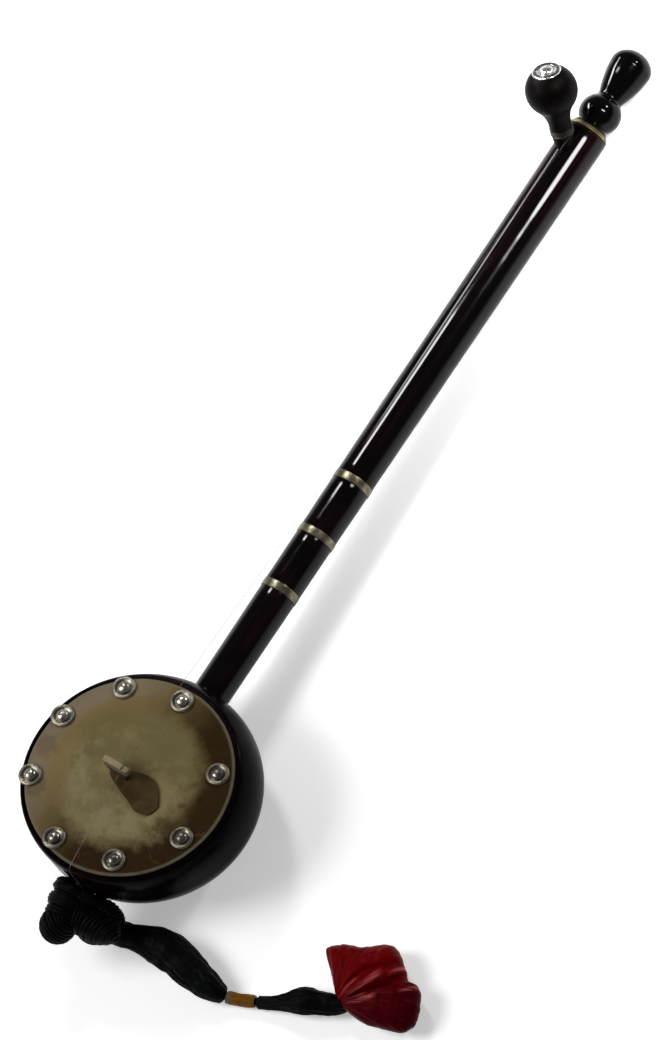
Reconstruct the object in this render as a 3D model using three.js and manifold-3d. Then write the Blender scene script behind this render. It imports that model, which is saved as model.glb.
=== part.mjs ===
// Tumbi: a plucked instrument with one string. A round stick runs through a turned wooden bowl,
// a hide skin is tacked over the bowl's rim, a wire runs from the stick's tail over the rim and a
// loose bridge to the one tuning peg, and a silk tassel hangs from the tail.
//
// The instrument lies on its back. Its own frame has +Y along the neck and +Z out of the skin, with
// the origin at the deepest point of the bowl. That frame leans until the finial touches the table.
// Lengths are in millimetres and angles in degrees.
import * as THREE from "three";
import { mergeVertices } from "three/addons/utils/BufferGeometryUtils.js";
import Module from "manifold-3d";

const wasm = await Module();
wasm.setup();

// Clearances
const fit = 0.3; // between pieces that seat on or in each other
const overrun = 3; // how far a cutter runs past the face that it cuts
const weld = 0.0001; // corners closer than this are one corner

// Bowl
const rimRadius = 73;
const bellyRadius = 77;
const bellyDrop = 28; // from the rim down to the widest place
const bellyShiftX = 2.2; // carved by hand: the widest place lies off the rim's centre
const bellyShiftY = 5.2;
const bowlDepth = 75;
const bowlWall = 8;
const rimLand = 18; // width of the flat rim that the tacks are driven into
const rimLandDepth = 12;
const rimEase = 0.8;
const restCut = 1.5; // planed off the back where the bowl rests
const upperWallFullness = 4;

// Skin
const skinInset = 3; // the skin stops this far inside the rim
const skinThickness = 1.2;
const skinEase = 0.4;

// Neck: the stick that runs through the bowl
const neckDrop = 34; // from the skin's face down to the neck's axis
const neckEnd = 534.3; // from the bowl's centre to the shoulder at the head
const neckBodyRadius = 12.5;
const neckHeadRadius = 14.9;
const neckEase = 0.9;
const tailRadius = 8.5;
const tailReach = 25.2; // past the widest place of the bowl
const tailStep = 12; // half the length over which the stick narrows inside the bowl
const noosePlace = 4.6; // from the widest place of the bowl to the string's noose
const nooseGroove = 0.8;
const nooseGrooveWidth = 3.4;

// Metal bands let into the neck
const bandPlace = 165.4; // of the first one, from the bowl's centre
const bandSpacing = 43.4;
const bandNames = ["band_low", "band_middle", "band_high"];
const bandWidth = 5.4;
const bandSeat = 0.9; // depth of the groove for a band
const bandProud = 0.3;
const bandEase = 0.35;

// Collar and finial on the head
const collarHeight = 3.8;
const collarTopRadius = 12.9;
const collarEase = 0.8;
const tenonRadius = 4.5;
const tenonDepth = 7;
const footRadius = 12.1;
const coveRadius = 10.9;
const coveHeight = 3.1;
const beadRadius = 14.3;
const beadHalfHeight = 13.7;
const beadCut = 9.1; // from the bead's middle down to the cove
const waistRadius = 8.9;
const waistPlace = 12.5; // above the bead's middle
const pearRadius = 14.35;
const pearPlace = 37; // of the pear's widest place, above the bead's middle
const pearTip = 48.9;
const pearFlankRadiusShares = [0.77, 0.925];
const pearFlankPlaceShares = [0.27, 0.62];

// Tacks through the skin: angle about the bowl's centre, and how far in from the rim
const tackPlaces = [
  [127, 0.127],
  [89, 0.164],
  [29.5, 0.196],
  [-20, 0.2],
  [-66.5, 0.193],
  [-109, 0.141],
  [-153.5, 0.092],
  [166.5, 0.105],
].map(([angle, insetShare]) => ({ angle, radius: rimRadius * (1 - insetShare) }));
const tackRadius = 8;
const tackHeight = 3.6;
const tackPinRadius = 0.9;
const tackPinLength = 9.5;

// Tuning peg: distances along its axis are measured from the neck's axis
const pegPlace = 514; // where its axis crosses the neck's, from the bowl's centre
const pegLeanToHead = 23.3;
const pegLeanAside = 18.2;
const pegTipReach = 1.2; // past the far side of the neck
const pegTipRadius = 5.7;
const pegWaistPlace = 28;
const pegWaistRadius = 7.5;
const pegBallPlace = 56;
const pegBallRadius = 17.4;
const pegFlareStart = 13.6; // radius where the flare meets the ball
const pegEase = 0.6;
const studRadius = 9.7;
const studHeight = 3.4;
const studPinRadius = 1.2;
const studPinLength = 9;

// String and its turns round the peg
const wireRadius = 0.15;
const wireBend = 1.6;
const windingPlace = 21.6; // along the peg's axis, where the string meets it
const windingPitch = 1;
const windingTurns = 5;
const stringHoleRadius = 0.8;
const stringHoleReach = 2.6; // how far the wire's end goes into its hole
const nooseClimb = 1.2;
const wallClearShare = 1.4; // how far the string stays off the bowl, in shares of its clearance

// Bridge, its saddle and the leather pad that it stands on
const bridgePlaceX = -5.8;
const bridgePlaceY = -1;
const bridgeTurn = -2.6;
const bridgeFootWidth = 13;
const bridgeTopWidth = 18.6;
const bridgeThickness = 5;
const bridgeHeight = 10;
const bridgeArchWidth = 5.4;
const bridgeArchHeight = 3;
const saddleWidth = 19.8;
const saddleThickness = 3.8;
const saddleHeight = 5.6;
const saddleCrown = 1.2;
const notchDepth = 1.4;
const notchWidth = 1.4;
const padThickness = 1.4;
const padEase = 0.35;
const padStart = -12.8;
const padLength = 41.5;
const padWidth = 24;
const padOutlineShares = [
  [0, -0.175],
  [0.005, 0.085],
  [0.236, 0.142],
  [0.455, 0.233],
  [0.672, 0.233],
  [0.829, 0.08],
  [0.978, -0.275],
  [1, -0.45],
  [0.94, -0.7],
  [0.8, -0.775],
  [0.665, -0.754],
  [0.499, -0.608],
  [0.263, -0.433],
];

// Tassel: the cord's route over the table, chosen by hand
const cordRadius = 2.5;
const cordRoute = [
  [18, -88, 38],
  [25, -83, 31],
  [31.5, -79, 25.5],
  [37, -76.6, 21.2],
  [43.6, -74.8, 17.9],
  [51.5, -73.4, 15.2],
  [60, -73.2, 13.9],
  [68.3, -74, 13.2],
  [76.5, -75.8, 12.5],
  [84.8, -77.7, 11.6],
  [92.5, -79.3, 10.6],
  [100, -80.4, 9.3],
  [105.5, -80.6, 7.3],
  [110.5, -80.2, 5.9],
  [118.2, -78.3, 5.3],
  [124, -76.2, 5.2],
  [129.1, -74.2, 5.3],
  [135.8, -71.9, 5.6],
  [145.2, -67.4, 6.8],
  [155.7, -61.6, 8.9],
  [162, -58.4, 9.6],
  [171.6, -55.1, 9],
  [179.8, -51.9, 9.2],
  [186.4, -49, 10.2],
  [192.4, -45.9, 11.5],
];
const upperSleeveRadius = 12.8;
const upperSleeveRadiusShares = [0.6, 0.65, 0.95, 1, 0.945, 0.845, 0.71, 0.4];
const lowerSleeveRadius = 9.1;
const lowerSleeveRadiusShares = [0.47, 0.51, 0.6, 0.86, 1, 0.81, 0.68];
const wrapRadius = 4.5; // of the gold wrap between the sleeves
const wrapEase = 0.6;
const sleeveStart = 22.5; // along the cord
const wrapStart = 105;
const wrapLength = 19.5;
const lowerSleeveLength = 56;
const tasselGap = 0.8; // between neighbours on the cord

// Silk knot on the tail: three lobes, in shares of the knot's size about the stick's end
const knotSize = 13;
const knotLobeShares = [
  { centre: [-0.08, 0.81, 0], radii: [1.15, 0.7, 1.08] },
  { centre: [0, -0.26, -0.12], radii: [0.95, 0.98, 0.96] },
  { centre: [1.5, 0.7, -0.3], radii: [1.52, 0.95, 1] },
];

// Red tuft: gathered at the cord's end, its outline in shares of its size
const tuftSize = 50;
const tuftThickness = 25;
const tuftLift = 13.2;
const tuftNeckThicknessShare = 0.5;
const tuftFarShare = 0.55;
const tuftOutlineShares = [
  [0.03, -0.02],
  [0.2, -0.07],
  [0.37, -0.08],
  [0.59, -0.06],
  [0.83, 0],
  [1, 0.05],
  [1.09, 0.16],
  [1.1, 0.29],
  [1.05, 0.43],
  [0.96, 0.6],
  [0.86, 0.69],
  [0.73, 0.68],
  [0.62, 0.78],
  [0.49, 0.89],
  [0.37, 0.98],
  [0.22, 1],
  [0.07, 0.91],
  [-0.09, 0.8],
  [-0.29, 0.74],
  [-0.42, 0.66],
  [-0.5, 0.55],
  [-0.27, 0.31],
  [-0.09, 0.12],
];

// Finishes
const finish = (color, roughness, metalness) => new THREE.MeshStandardMaterial({ color, roughness, metalness });
const lacquer = finish(0x1a080b, 0.15, 0);
const blackLacquer = finish(0x0c0809, 0.15, 0);
const hide = finish(0x84795a, 0.6, 0);
const chrome = finish(0xc9cacc, 0.15, 1);
const bandMetal = finish(0xc9c2ae, 0.25, 1);
const steel = finish(0xa8a8a8, 0.3, 1);
const darkWood = finish(0x4a3420, 0.5, 0);
const bone = finish(0xb9ac92, 0.5, 0);
const leather = finish(0x54412a, 0.8, 0);
const blackSilk = finish(0x121413, 0.7, 0);
const goldThread = finish(0xc08a30, 0.45, 0.3);
const redSilk = finish(0x8e0a14, 0.5, 0);

// Lengths that follow from the ones above
const bellyZ = bowlDepth - bellyDrop;
const skinRadius = rimRadius - skinInset;
const skinBase = bowlDepth + fit;
const skinFace = skinBase + skinThickness;
const axisZ = skinFace - neckDrop;
const landRadius = rimRadius - rimLand;
const tailWall = bellyShiftY - bellyRadius; // where the tail leaves the bowl
const tailEnd = tailWall - tailReach;
const nooseY = tailWall - noosePlace;
const beadPlace = neckEnd + fit + collarHeight + fit + coveHeight + beadCut;
const finialTip = beadPlace + pearTip;

const rad = THREE.MathUtils.degToRad;
const v2 = (x, y) => new THREE.Vector2(x, y);
const v3 = (x, y, z) => new THREE.Vector3(x, y, z);

// Radius of the bowl's outside above its widest place.
function bowlRadiusAt(z) {
  const rise = Math.max(0, (z - bellyZ) / bellyDrop);
  return rimRadius + (bellyRadius - rimRadius) * (1 - rise ** upperWallFullness);
}

// How far the carved bowl has moved over towards its widest place's centre, as a share.
const overShareAt = (z) => Math.sin((Math.PI / 2) * THREE.MathUtils.clamp((bowlDepth - z) / bellyDrop, 0, 1));

// Radius of the stick where it is round and straight or gently thickening.
function neckRadiusAt(y) {
  if (y < 0) return tailRadius;
  const run = (y - bellyRadius) / (neckEnd - bellyRadius);
  return neckBodyRadius + (neckHeadRadius - neckBodyRadius) * run;
}

// The lean that sets the finial's pear and the planed back of the bowl on one table.
const pearFromCentre = beadPlace + pearPlace;
const pearUnderside = axisZ - pearRadius;
const lean = Math.acos(restCut / Math.hypot(pearFromCentre, pearUnderside)) - Math.atan2(pearFromCentre, pearUnderside);
const leanMatrix = new THREE.Matrix4().makeRotationX(-lean).setPosition(0, 0, -restCut);

// Turns closed three.js geometry into a solid for cutting and joining.
function solid(geometry) {
  const bare = geometry.index ? geometry.toNonIndexed() : geometry.clone();
  bare.deleteAttribute("normal");
  bare.deleteAttribute("uv");
  const merged = mergeVertices(bare, weld);
  const mesh = new wasm.Mesh({
    numProp: 3,
    vertProperties: merged.getAttribute("position").array,
    triVerts: new Uint32Array(merged.index.array),
  });
  return new wasm.Manifold(mesh);
}

// Turns a solid back into geometry.
function surface(body) {
  const mesh = body.getMesh();
  const geometry = new THREE.BufferGeometry();
  geometry.setAttribute("position", new THREE.BufferAttribute(new Float32Array(mesh.vertProperties), 3));
  geometry.setIndex(new THREE.BufferAttribute(new Uint32Array(mesh.triVerts), 1));
  const flat = geometry.toNonIndexed();
  flat.computeVertexNormals();
  return flat;
}

// Samples a stretch of curve as outline points, without the first where it repeats the last one.
function trace(...stretches) {
  const points = [];
  for (const stretch of stretches) {
    const next = stretch.curve ? stretch.curve.getPoints(stretch.steps) : [stretch];
    for (const point of next) {
      if (points.length && points.at(-1).distanceTo(point) < weld) continue;
      points.push(point);
    }
  }
  return points;
}

// Arc of an ellipse about a point on the axis, from one angle to another, in (radius, height).
function arc(centreHeight, radius, halfHeight, from, to, steps) {
  const turn = to < from;
  return { curve: new THREE.EllipseCurve(0, centreHeight, radius, halfHeight, rad(from), rad(to), turn), steps };
}

// Revolves an outline of (radius, height) about +Z, with its faces outwards whichever way it runs.
function revolve(outline, segments) {
  const turned = THREE.ShapeUtils.area(outline) < 0 ? [...outline].reverse() : outline;
  return new THREE.LatheGeometry(turned, segments).rotateX(Math.PI / 2);
}

// Lays a revolved piece along the neck: its height becomes the place along the neck.
const alongNeck = (geometry) => geometry.rotateX(-Math.PI / 2).translate(0, 0, axisZ);

// A round ring of rectangular section with eased outer edges, centred on height zero.
function ringOutline(inner, outerLow, outerHigh, height, ease) {
  const half = height / 2;
  return [
    v2(inner, -half),
    v2(outerLow - ease, -half),
    v2(outerLow, ease - half),
    v2(outerHigh, half - ease),
    v2(outerHigh - ease, half),
    v2(inner, half),
    v2(inner, -half),
  ];
}

// A closed tube along points. radiusAt gives the radius at a share of its length and an angle.
function tubeAlong(points, radiusAt, sides) {
  const positions = [];
  const index = [];
  const last = points.length - 1;
  const normal = v3(0, 0, 1);
  points.forEach((point, i) => {
    const tangent = points[Math.min(i + 1, last)].clone().sub(points[Math.max(i - 1, 0)]).normalize();
    if (i === 0 && Math.abs(tangent.z) > Math.SQRT1_2) normal.set(1, 0, 0);
    normal.addScaledVector(tangent, -normal.dot(tangent)).normalize();
    const side = tangent.clone().cross(normal);
    for (let k = 0; k < sides; k++) {
      const angle = (2 * Math.PI * k) / sides;
      const radius = radiusAt(i / last, angle);
      const corner = point.clone();
      corner.addScaledVector(normal, radius * Math.cos(angle));
      corner.addScaledVector(side, radius * Math.sin(angle));
      positions.push(corner.x, corner.y, corner.z);
    }
  });
  for (let i = 0; i < last; i++) {
    for (let k = 0; k < sides; k++) {
      const a = i * sides + k;
      const b = i * sides + ((k + 1) % sides);
      index.push(a, b, b + sides, a, b + sides, a + sides);
    }
  }
  for (const [ring, forward] of [[0, false], [last, true]]) {
    const hub = positions.length / 3;
    positions.push(points[ring].x, points[ring].y, points[ring].z);
    for (let k = 0; k < sides; k++) {
      const a = ring * sides + k;
      const b = ring * sides + ((k + 1) % sides);
      if (forward) index.push(hub, a, b);
      else index.push(hub, b, a);
    }
  }
  const geometry = new THREE.BufferGeometry();
  geometry.setAttribute("position", new THREE.Float32BufferAttribute(positions, 3));
  geometry.setIndex(index);
  return geometry;
}

// Least clear distance between stretches of one tube that lie more than a few radii apart along it.
function leastGapToItself(points, radius) {
  const apart = 8 * radius;
  const along = [0];
  for (let i = 1; i < points.length; i++) along.push(along[i - 1] + points[i].distanceTo(points[i - 1]));
  let least = Infinity;
  for (let i = 0; i < points.length; i++) {
    for (let j = i + 1; j < points.length; j++) {
      if (along[j] - along[i] > apart) least = Math.min(least, points[i].distanceTo(points[j]));
    }
  }
  return least - 2 * radius;
}

// Rounds the corners of a line of points.
function roundCorners(points, bend, steps) {
  const rounded = [points[0]];
  for (let i = 1; i < points.length - 1; i++) {
    const corner = points[i];
    const reach = (other) => Math.min(bend, corner.distanceTo(other) / 2);
    const before = corner.clone().lerp(points[i - 1], reach(points[i - 1]) / corner.distanceTo(points[i - 1]));
    const after = corner.clone().lerp(points[i + 1], reach(points[i + 1]) / corner.distanceTo(points[i + 1]));
    rounded.push(...new THREE.QuadraticBezierCurve3(before, corner, after).getPoints(steps));
  }
  rounded.push(points.at(-1));
  return rounded;
}

function piece(name, geometry, material) {
  const mesh = new THREE.Mesh(geometry, material);
  mesh.name = name;
  return mesh;
}

// Tack: a domed head with a raised flange, and its pin. Height zero is the head's underside.
function tackOutline(radius, height, pinRadius, pinLength) {
  const flange = height * 0.5;
  const domeRadius = radius * 0.54;
  const domeFoot = height * 0.36;
  return trace(
    v2(0, -pinLength),
    v2(pinRadius, pinRadius * 2 - pinLength),
    v2(pinRadius, 0),
    v2(radius * 0.95, 0),
    v2(radius, height * 0.14),
    v2(radius * 0.9, flange * 0.85),
    v2(radius * 0.74, flange),
    v2(domeRadius, domeFoot),
    arc(domeFoot, domeRadius, height - domeFoot, 20, 90, 4),
  );
}

const tackSpot = ({ angle, radius }) => v3(radius * Math.cos(rad(angle)), radius * Math.sin(rad(angle)), 0);

// Pin of a tack, grown by the clearance, to bore the skin and the rim.
function pinBore({ angle, radius }) {
  const spot = tackSpot({ angle, radius });
  const bore = tackPinRadius + fit / 2;
  const outline = [
    v2(0, -(tackPinLength + fit)),
    v2(bore, -(tackPinLength + fit)),
    v2(bore, overrun),
    v2(0, overrun),
  ];
  return solid(revolve(outline, 8).translate(spot.x, spot.y, skinFace + fit));
}

const pinBores = tackPlaces.map(pinBore);

function buildBowl() {
  const innerBelly = bellyRadius - bowlWall;
  const wallPoints = [];
  const wallSteps = 6;
  for (let i = 1; i <= wallSteps; i++) {
    const z = bellyZ + ((bellyDrop - rimEase) * i) / wallSteps;
    wallPoints.push(v2(bowlRadiusAt(z), z));
  }
  const landFoot = bowlDepth - rimLandDepth;
  const outline = trace(
    arc(bellyZ, bellyRadius, bellyZ, -90, 0, 10),
    ...wallPoints,
    v2(rimRadius - rimEase, bowlDepth),
    v2(landRadius, bowlDepth),
    v2(landRadius, landFoot),
    v2(innerBelly, bellyZ),
    arc(bellyZ, innerBelly, bellyZ - bowlWall, 0, -90, 7),
  );
  const turned = revolve(outline, 48);
  const corners = turned.getAttribute("position");
  for (let i = 0; i < corners.count; i++) {
    const over = overShareAt(corners.getZ(i));
    corners.setXY(i, corners.getX(i) + bellyShiftX * over, corners.getY(i) + bellyShiftY * over);
  }
  let shell = solid(turned);
  const neckBore = neckRadiusAt(bellyRadius) + fit;
  const bowlReach = bellyRadius + bellyShiftY + overrun;
  const headward = [v2(0, 0), v2(neckBore, 0), v2(neckBore, bowlReach), v2(0, bowlReach)];
  shell = shell.subtract(solid(alongNeck(revolve(headward, 24))));
  const tailBore = tailRadius + fit;
  const tailward = [v2(0, -bowlReach), v2(tailBore, -bowlReach), v2(tailBore, 0), v2(0, 0)];
  shell = shell.subtract(solid(alongNeck(revolve(tailward, 24))));
  for (const bore of pinBores) shell = shell.subtract(bore);
  const table = new THREE.BoxGeometry(2 * bellyRadius, 2 * bellyRadius, bellyRadius).translate(0, 0, -bellyRadius / 2);
  const leaning = solid(surface(shell).applyMatrix4(leanMatrix));
  return piece("bowl", surface(leaning.subtract(solid(table))), lacquer);
}

function buildSkin() {
  const outline = [
    v2(0, 0),
    v2(skinRadius, 0),
    v2(skinRadius, skinThickness - skinEase),
    v2(skinRadius - skinEase, skinThickness),
    v2(0, skinThickness),
  ];
  let sheet = solid(revolve(outline, 48).translate(0, 0, skinBase));
  for (const bore of pinBores) sheet = sheet.subtract(bore);
  return piece("skin", surface(sheet), hide);
}

function buildTacks() {
  const outline = tackOutline(tackRadius, tackHeight, tackPinRadius, tackPinLength);
  return tackPlaces.map((place, i) => {
    const tack = piece(`tack_${i + 1}`, revolve(outline, 12), chrome);
    const spot = tackSpot(place);
    tack.position.set(spot.x, spot.y, skinFace + fit);
    return tack;
  });
}

// The peg's own frame: its +Z is the peg's axis, its origin is on the neck's axis.
const pegAxis = v3(
  -Math.sin(rad(pegLeanAside)) * Math.cos(rad(pegLeanToHead)),
  Math.sin(rad(pegLeanToHead)),
  Math.cos(rad(pegLeanAside)) * Math.cos(rad(pegLeanToHead)),
);
const pegTurn = new THREE.Quaternion().setFromUnitVectors(v3(0, 0, 1), pegAxis);
const pegOrigin = v3(0, pegPlace, axisZ);
const pegMatrix = new THREE.Matrix4().compose(pegOrigin, pegTurn, v3(1, 1, 1));
const pegTip = -(neckRadiusAt(pegPlace) / Math.cos(rad(pegLeanToHead)) + pegTipReach);

// Radius of the peg's tapered shaft at a place along its axis.
function pegRadiusAt(place) {
  const share = (place - pegTip) / (pegWaistPlace - pegTip);
  return pegTipRadius + (pegWaistRadius - pegTipRadius) * share;
}

function buildNeck() {
  const outline = [
    v2(0, tailEnd),
    v2(tailRadius - neckEase, tailEnd),
    v2(tailRadius, tailEnd + neckEase),
    v2(tailRadius, nooseY - nooseGrooveWidth / 2),
    v2(tailRadius - nooseGroove, nooseY - nooseGrooveWidth / 2 + nooseGroove),
    v2(tailRadius - nooseGroove, nooseY + nooseGrooveWidth / 2 - nooseGroove),
    v2(tailRadius, nooseY + nooseGrooveWidth / 2),
    v2(tailRadius, -tailStep),
    v2(neckRadiusAt(tailStep), tailStep),
  ];
  for (let i = 0; i < bandNames.length; i++) {
    const place = bandPlace + bandSpacing * i;
    for (const edge of [-1, 1]) {
      const y = place + edge * (bandWidth / 2 + fit);
      const proud = v2(neckRadiusAt(y), y);
      const seat = v2(neckRadiusAt(y) - bandSeat, y);
      outline.push(...(edge < 0 ? [proud, seat] : [seat, proud]));
    }
  }
  outline.push(v2(neckHeadRadius, neckEnd - neckEase), v2(neckHeadRadius - neckEase, neckEnd));
  outline.push(v2(tenonRadius + fit, neckEnd), v2(tenonRadius + fit, neckEnd - tenonDepth - fit));
  outline.push(v2(0, neckEnd - tenonDepth - fit));
  const stick = solid(alongNeck(revolve(outline, 32)));
  const low = pegTip - overrun;
  const high = -pegTip + overrun;
  const bore = [v2(0, low), v2(pegRadiusAt(low) + fit, low), v2(pegRadiusAt(high) + fit, high), v2(0, high)];
  const cutter = solid(revolve(bore, 24).applyMatrix4(pegMatrix));
  return piece("neck", surface(stick.subtract(cutter)), lacquer);
}

function buildBands() {
  return bandNames.map((name, i) => {
    const place = bandPlace + bandSpacing * i;
    const radius = neckRadiusAt(place);
    const outline = ringOutline(radius - bandSeat + fit, radius + bandProud, radius + bandProud, bandWidth, bandEase);
    return piece(name, alongNeck(revolve(outline, 32).translate(0, 0, place)), bandMetal);
  });
}

function buildCollar() {
  const outline = ringOutline(tenonRadius + fit, neckHeadRadius, collarTopRadius, collarHeight, collarEase);
  const middle = neckEnd + fit + collarHeight / 2;
  return piece("collar", alongNeck(revolve(outline, 32).translate(0, 0, middle)), bandMetal);
}

function buildFinial() {
  const foot = -(beadCut + coveHeight);
  const tenonFoot = neckEnd - tenonDepth - beadPlace;
  const cutAngle = THREE.MathUtils.radToDeg(Math.asin(beadCut / beadHalfHeight));
  const topAngle = 47;
  const beadTop = v2(beadRadius * Math.cos(rad(topAngle)), beadHalfHeight * Math.sin(rad(topAngle)));
  const flank = [beadTop, v2(waistRadius, waistPlace)];
  pearFlankRadiusShares.forEach((share, i) => {
    flank.push(v2(pearRadius * share, waistPlace + (pearPlace - waistPlace) * pearFlankPlaceShares[i]));
  });
  flank.push(v2(pearRadius, pearPlace));
  const outline = trace(
    v2(0, tenonFoot),
    v2(tenonRadius, tenonFoot),
    v2(tenonRadius, foot),
    v2(footRadius, foot),
    v2(coveRadius, -beadCut),
    arc(0, beadRadius, beadHalfHeight, -cutAngle, topAngle, 7),
    { curve: new THREE.SplineCurve(flank), steps: 9 },
    arc(pearPlace, pearRadius, pearTip - pearPlace, 0, 90, 5),
  );
  return piece("finial", alongNeck(revolve(outline, 28).translate(0, 0, beadPlace)), blackLacquer);
}

// Place and angle, in the peg's frame, where the string meets its turns on the shaft.
const windingRadius = pegRadiusAt(windingPlace) + fit + wireRadius;
const stringMeets = v3(0, 1, 0).applyQuaternion(pegTurn.clone().invert());
const meetAngle = Math.atan2(stringMeets.y, stringMeets.x) - Math.PI / 2;
const holeAngle = meetAngle + 2 * Math.PI * windingTurns + wireBend / windingRadius;
const holePlace = windingPlace + windingPitch * windingTurns;

function buildPeg() {
  const ballTop = Math.sqrt(pegBallRadius ** 2 - studRadius ** 2);
  const topAngle = THREE.MathUtils.radToDeg(Math.atan2(ballTop, studRadius));
  const flareAngle = -THREE.MathUtils.radToDeg(Math.acos(pegFlareStart / pegBallRadius));
  const flareTop = v2(pegFlareStart, pegBallPlace + pegBallRadius * Math.sin(rad(flareAngle)));
  const tangent = v2(Math.sin(rad(-flareAngle)), Math.cos(rad(flareAngle)));
  const pull = (flareTop.y - pegWaistPlace) / 2;
  const flare = new THREE.CubicBezierCurve(
    v2(pegWaistRadius, pegWaistPlace),
    v2(pegWaistRadius, pegWaistPlace + pull),
    flareTop.clone().addScaledVector(tangent, -pull / 2),
    flareTop,
  );
  const outline = trace(
    v2(0, pegTip),
    v2(pegTipRadius - pegEase, pegTip),
    v2(pegTipRadius, pegTip + pegEase),
    { curve: flare, steps: 6 },
    { curve: new THREE.EllipseCurve(0, pegBallPlace, pegBallRadius, pegBallRadius, rad(flareAngle), rad(topAngle)), steps: 10 },
    v2(studPinRadius + fit, pegBallPlace + ballTop),
    v2(studPinRadius + fit, pegBallPlace + ballTop - studPinLength - fit),
    v2(0, pegBallPlace + ballTop - studPinLength - fit),
  );
  const hole = new THREE.CylinderGeometry(stringHoleRadius, stringHoleRadius, 4 * pegWaistRadius, 8)
    .rotateZ(Math.PI / 2)
    .rotateZ(holeAngle)
    .translate(0, 0, holePlace);
  const shaft = solid(revolve(outline, 28)).subtract(solid(hole));
  const stud = revolve(tackOutline(studRadius, studHeight, studPinRadius, studPinLength), 18);
  return [
    piece("peg", surface(shaft), blackLacquer),
    piece("peg_stud", stud.translate(0, 0, pegBallPlace + ballTop + fit), chrome),
  ];
}

// Turns of the string round the shaft, ending in the hole through it.
function buildWinding() {
  const points = [];
  const stepsPerTurn = 24;
  const steps = stepsPerTurn * windingTurns;
  const at = (angle, radius, place) => v3(radius * Math.cos(angle), radius * Math.sin(angle), place);
  for (let i = 0; i <= steps; i++) {
    const turns = i / stepsPerTurn;
    const place = windingPlace + windingPitch * turns;
    points.push(at(meetAngle + 2 * Math.PI * turns, pegRadiusAt(place) + fit + wireRadius, place));
  }
  const endRadius = pegRadiusAt(holePlace) + fit + wireRadius;
  const bendSteps = 4;
  for (let i = 1; i <= bendSteps; i++) {
    const bent = (Math.PI / 2) * (i / bendSteps);
    const angle = holeAngle - (wireBend / windingRadius) * (1 - Math.sin(bent));
    points.push(at(angle, endRadius - wireBend * (1 - Math.cos(bent)), holePlace));
  }
  points.push(at(holeAngle, endRadius - wireBend - stringHoleReach, holePlace));
  console.log(`string_winding: least gap to itself ${leastGapToItself(points, wireRadius).toFixed(2)} mm`);
  return piece("string_winding", tubeAlong(points, () => wireRadius, 6), steel);
}

// The string: a noose round the tail, up the bowl, over the rim and the saddle, to the peg.
function buildString() {
  const clear = fit + wireRadius;
  const nooseRadius = tailRadius - nooseGroove + clear;
  const points = [];
  const nooseSteps = 22;
  const nooseStart = 25;
  for (let i = 0; i <= nooseSteps; i++) {
    const share = i / nooseSteps;
    const angle = rad(nooseStart + (360 - nooseStart) * share);
    const y = nooseY - nooseClimb / 2 + nooseClimb * share;
    points.push(v3(nooseRadius * Math.cos(angle), y, axisZ + nooseRadius * Math.sin(angle)));
  }
  const saddleTop = skinFace + fit + padThickness + fit + bridgeHeight + fit + saddleHeight;
  const fall = (saddleTop - skinFace) / skinRadius;
  const overSaddle = v3(0, bridgePlaceY, saddleTop - notchDepth + clear + (fall * saddleThickness) / 2);
  const overSkin = v3(0, -skinRadius, skinFace + clear);
  const overRim = v3(0, -(rimRadius + clear), bowlDepth - rimEase + clear);
  const climb = [points.at(-1)];
  const wallSteps = 6;
  for (let i = 1; i < wallSteps; i++) {
    const share = i / wallSteps;
    const z = THREE.MathUtils.lerp(axisZ, overRim.z, share);
    const x = nooseRadius * (1 - share ** 2);
    const straight = THREE.MathUtils.lerp(points.at(-1).y, overRim.y, (i - 1) / (wallSteps - 1));
    const over = overShareAt(z);
    const reach = bowlRadiusAt(z) + wallClearShare * clear;
    const wall = bellyShiftY * over - Math.sqrt(reach ** 2 - (x - bellyShiftX * over) ** 2);
    climb.push(v3(x, Math.min(straight, wall), z));
  }
  const tangent = v3(-Math.sin(meetAngle), Math.cos(meetAngle), 0).applyQuaternion(pegTurn);
  const meet = v3(Math.cos(meetAngle), Math.sin(meetAngle), 0).multiplyScalar(windingRadius);
  meet.z = windingPlace - 2 * wireRadius - fit; // beside the turns, which pass it as the peg turns
  meet.applyMatrix4(pegMatrix);
  const end = meet.clone().addScaledVector(tangent, -fit);
  const approach = meet.clone().addScaledVector(tangent, -2 * wireBend);
  const route = roundCorners([...climb, overRim, overSkin, overSaddle, approach, end], wireBend, 3);
  points.push(...route.slice(1));
  console.log(`string: least gap to itself ${leastGapToItself(points, wireRadius).toFixed(2)} mm`);
  return piece("string", tubeAlong(points, () => wireRadius, 6), steel);
}

// Stands an outline drawn in width and height on the table of its own frame, thickness along Y.
function stand(shape, thickness) {
  const block = new THREE.ExtrudeGeometry(shape, { depth: thickness, bevelEnabled: false, curveSegments: 8 });
  return block.translate(0, 0, -thickness / 2).rotateX(Math.PI / 2);
}

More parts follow.
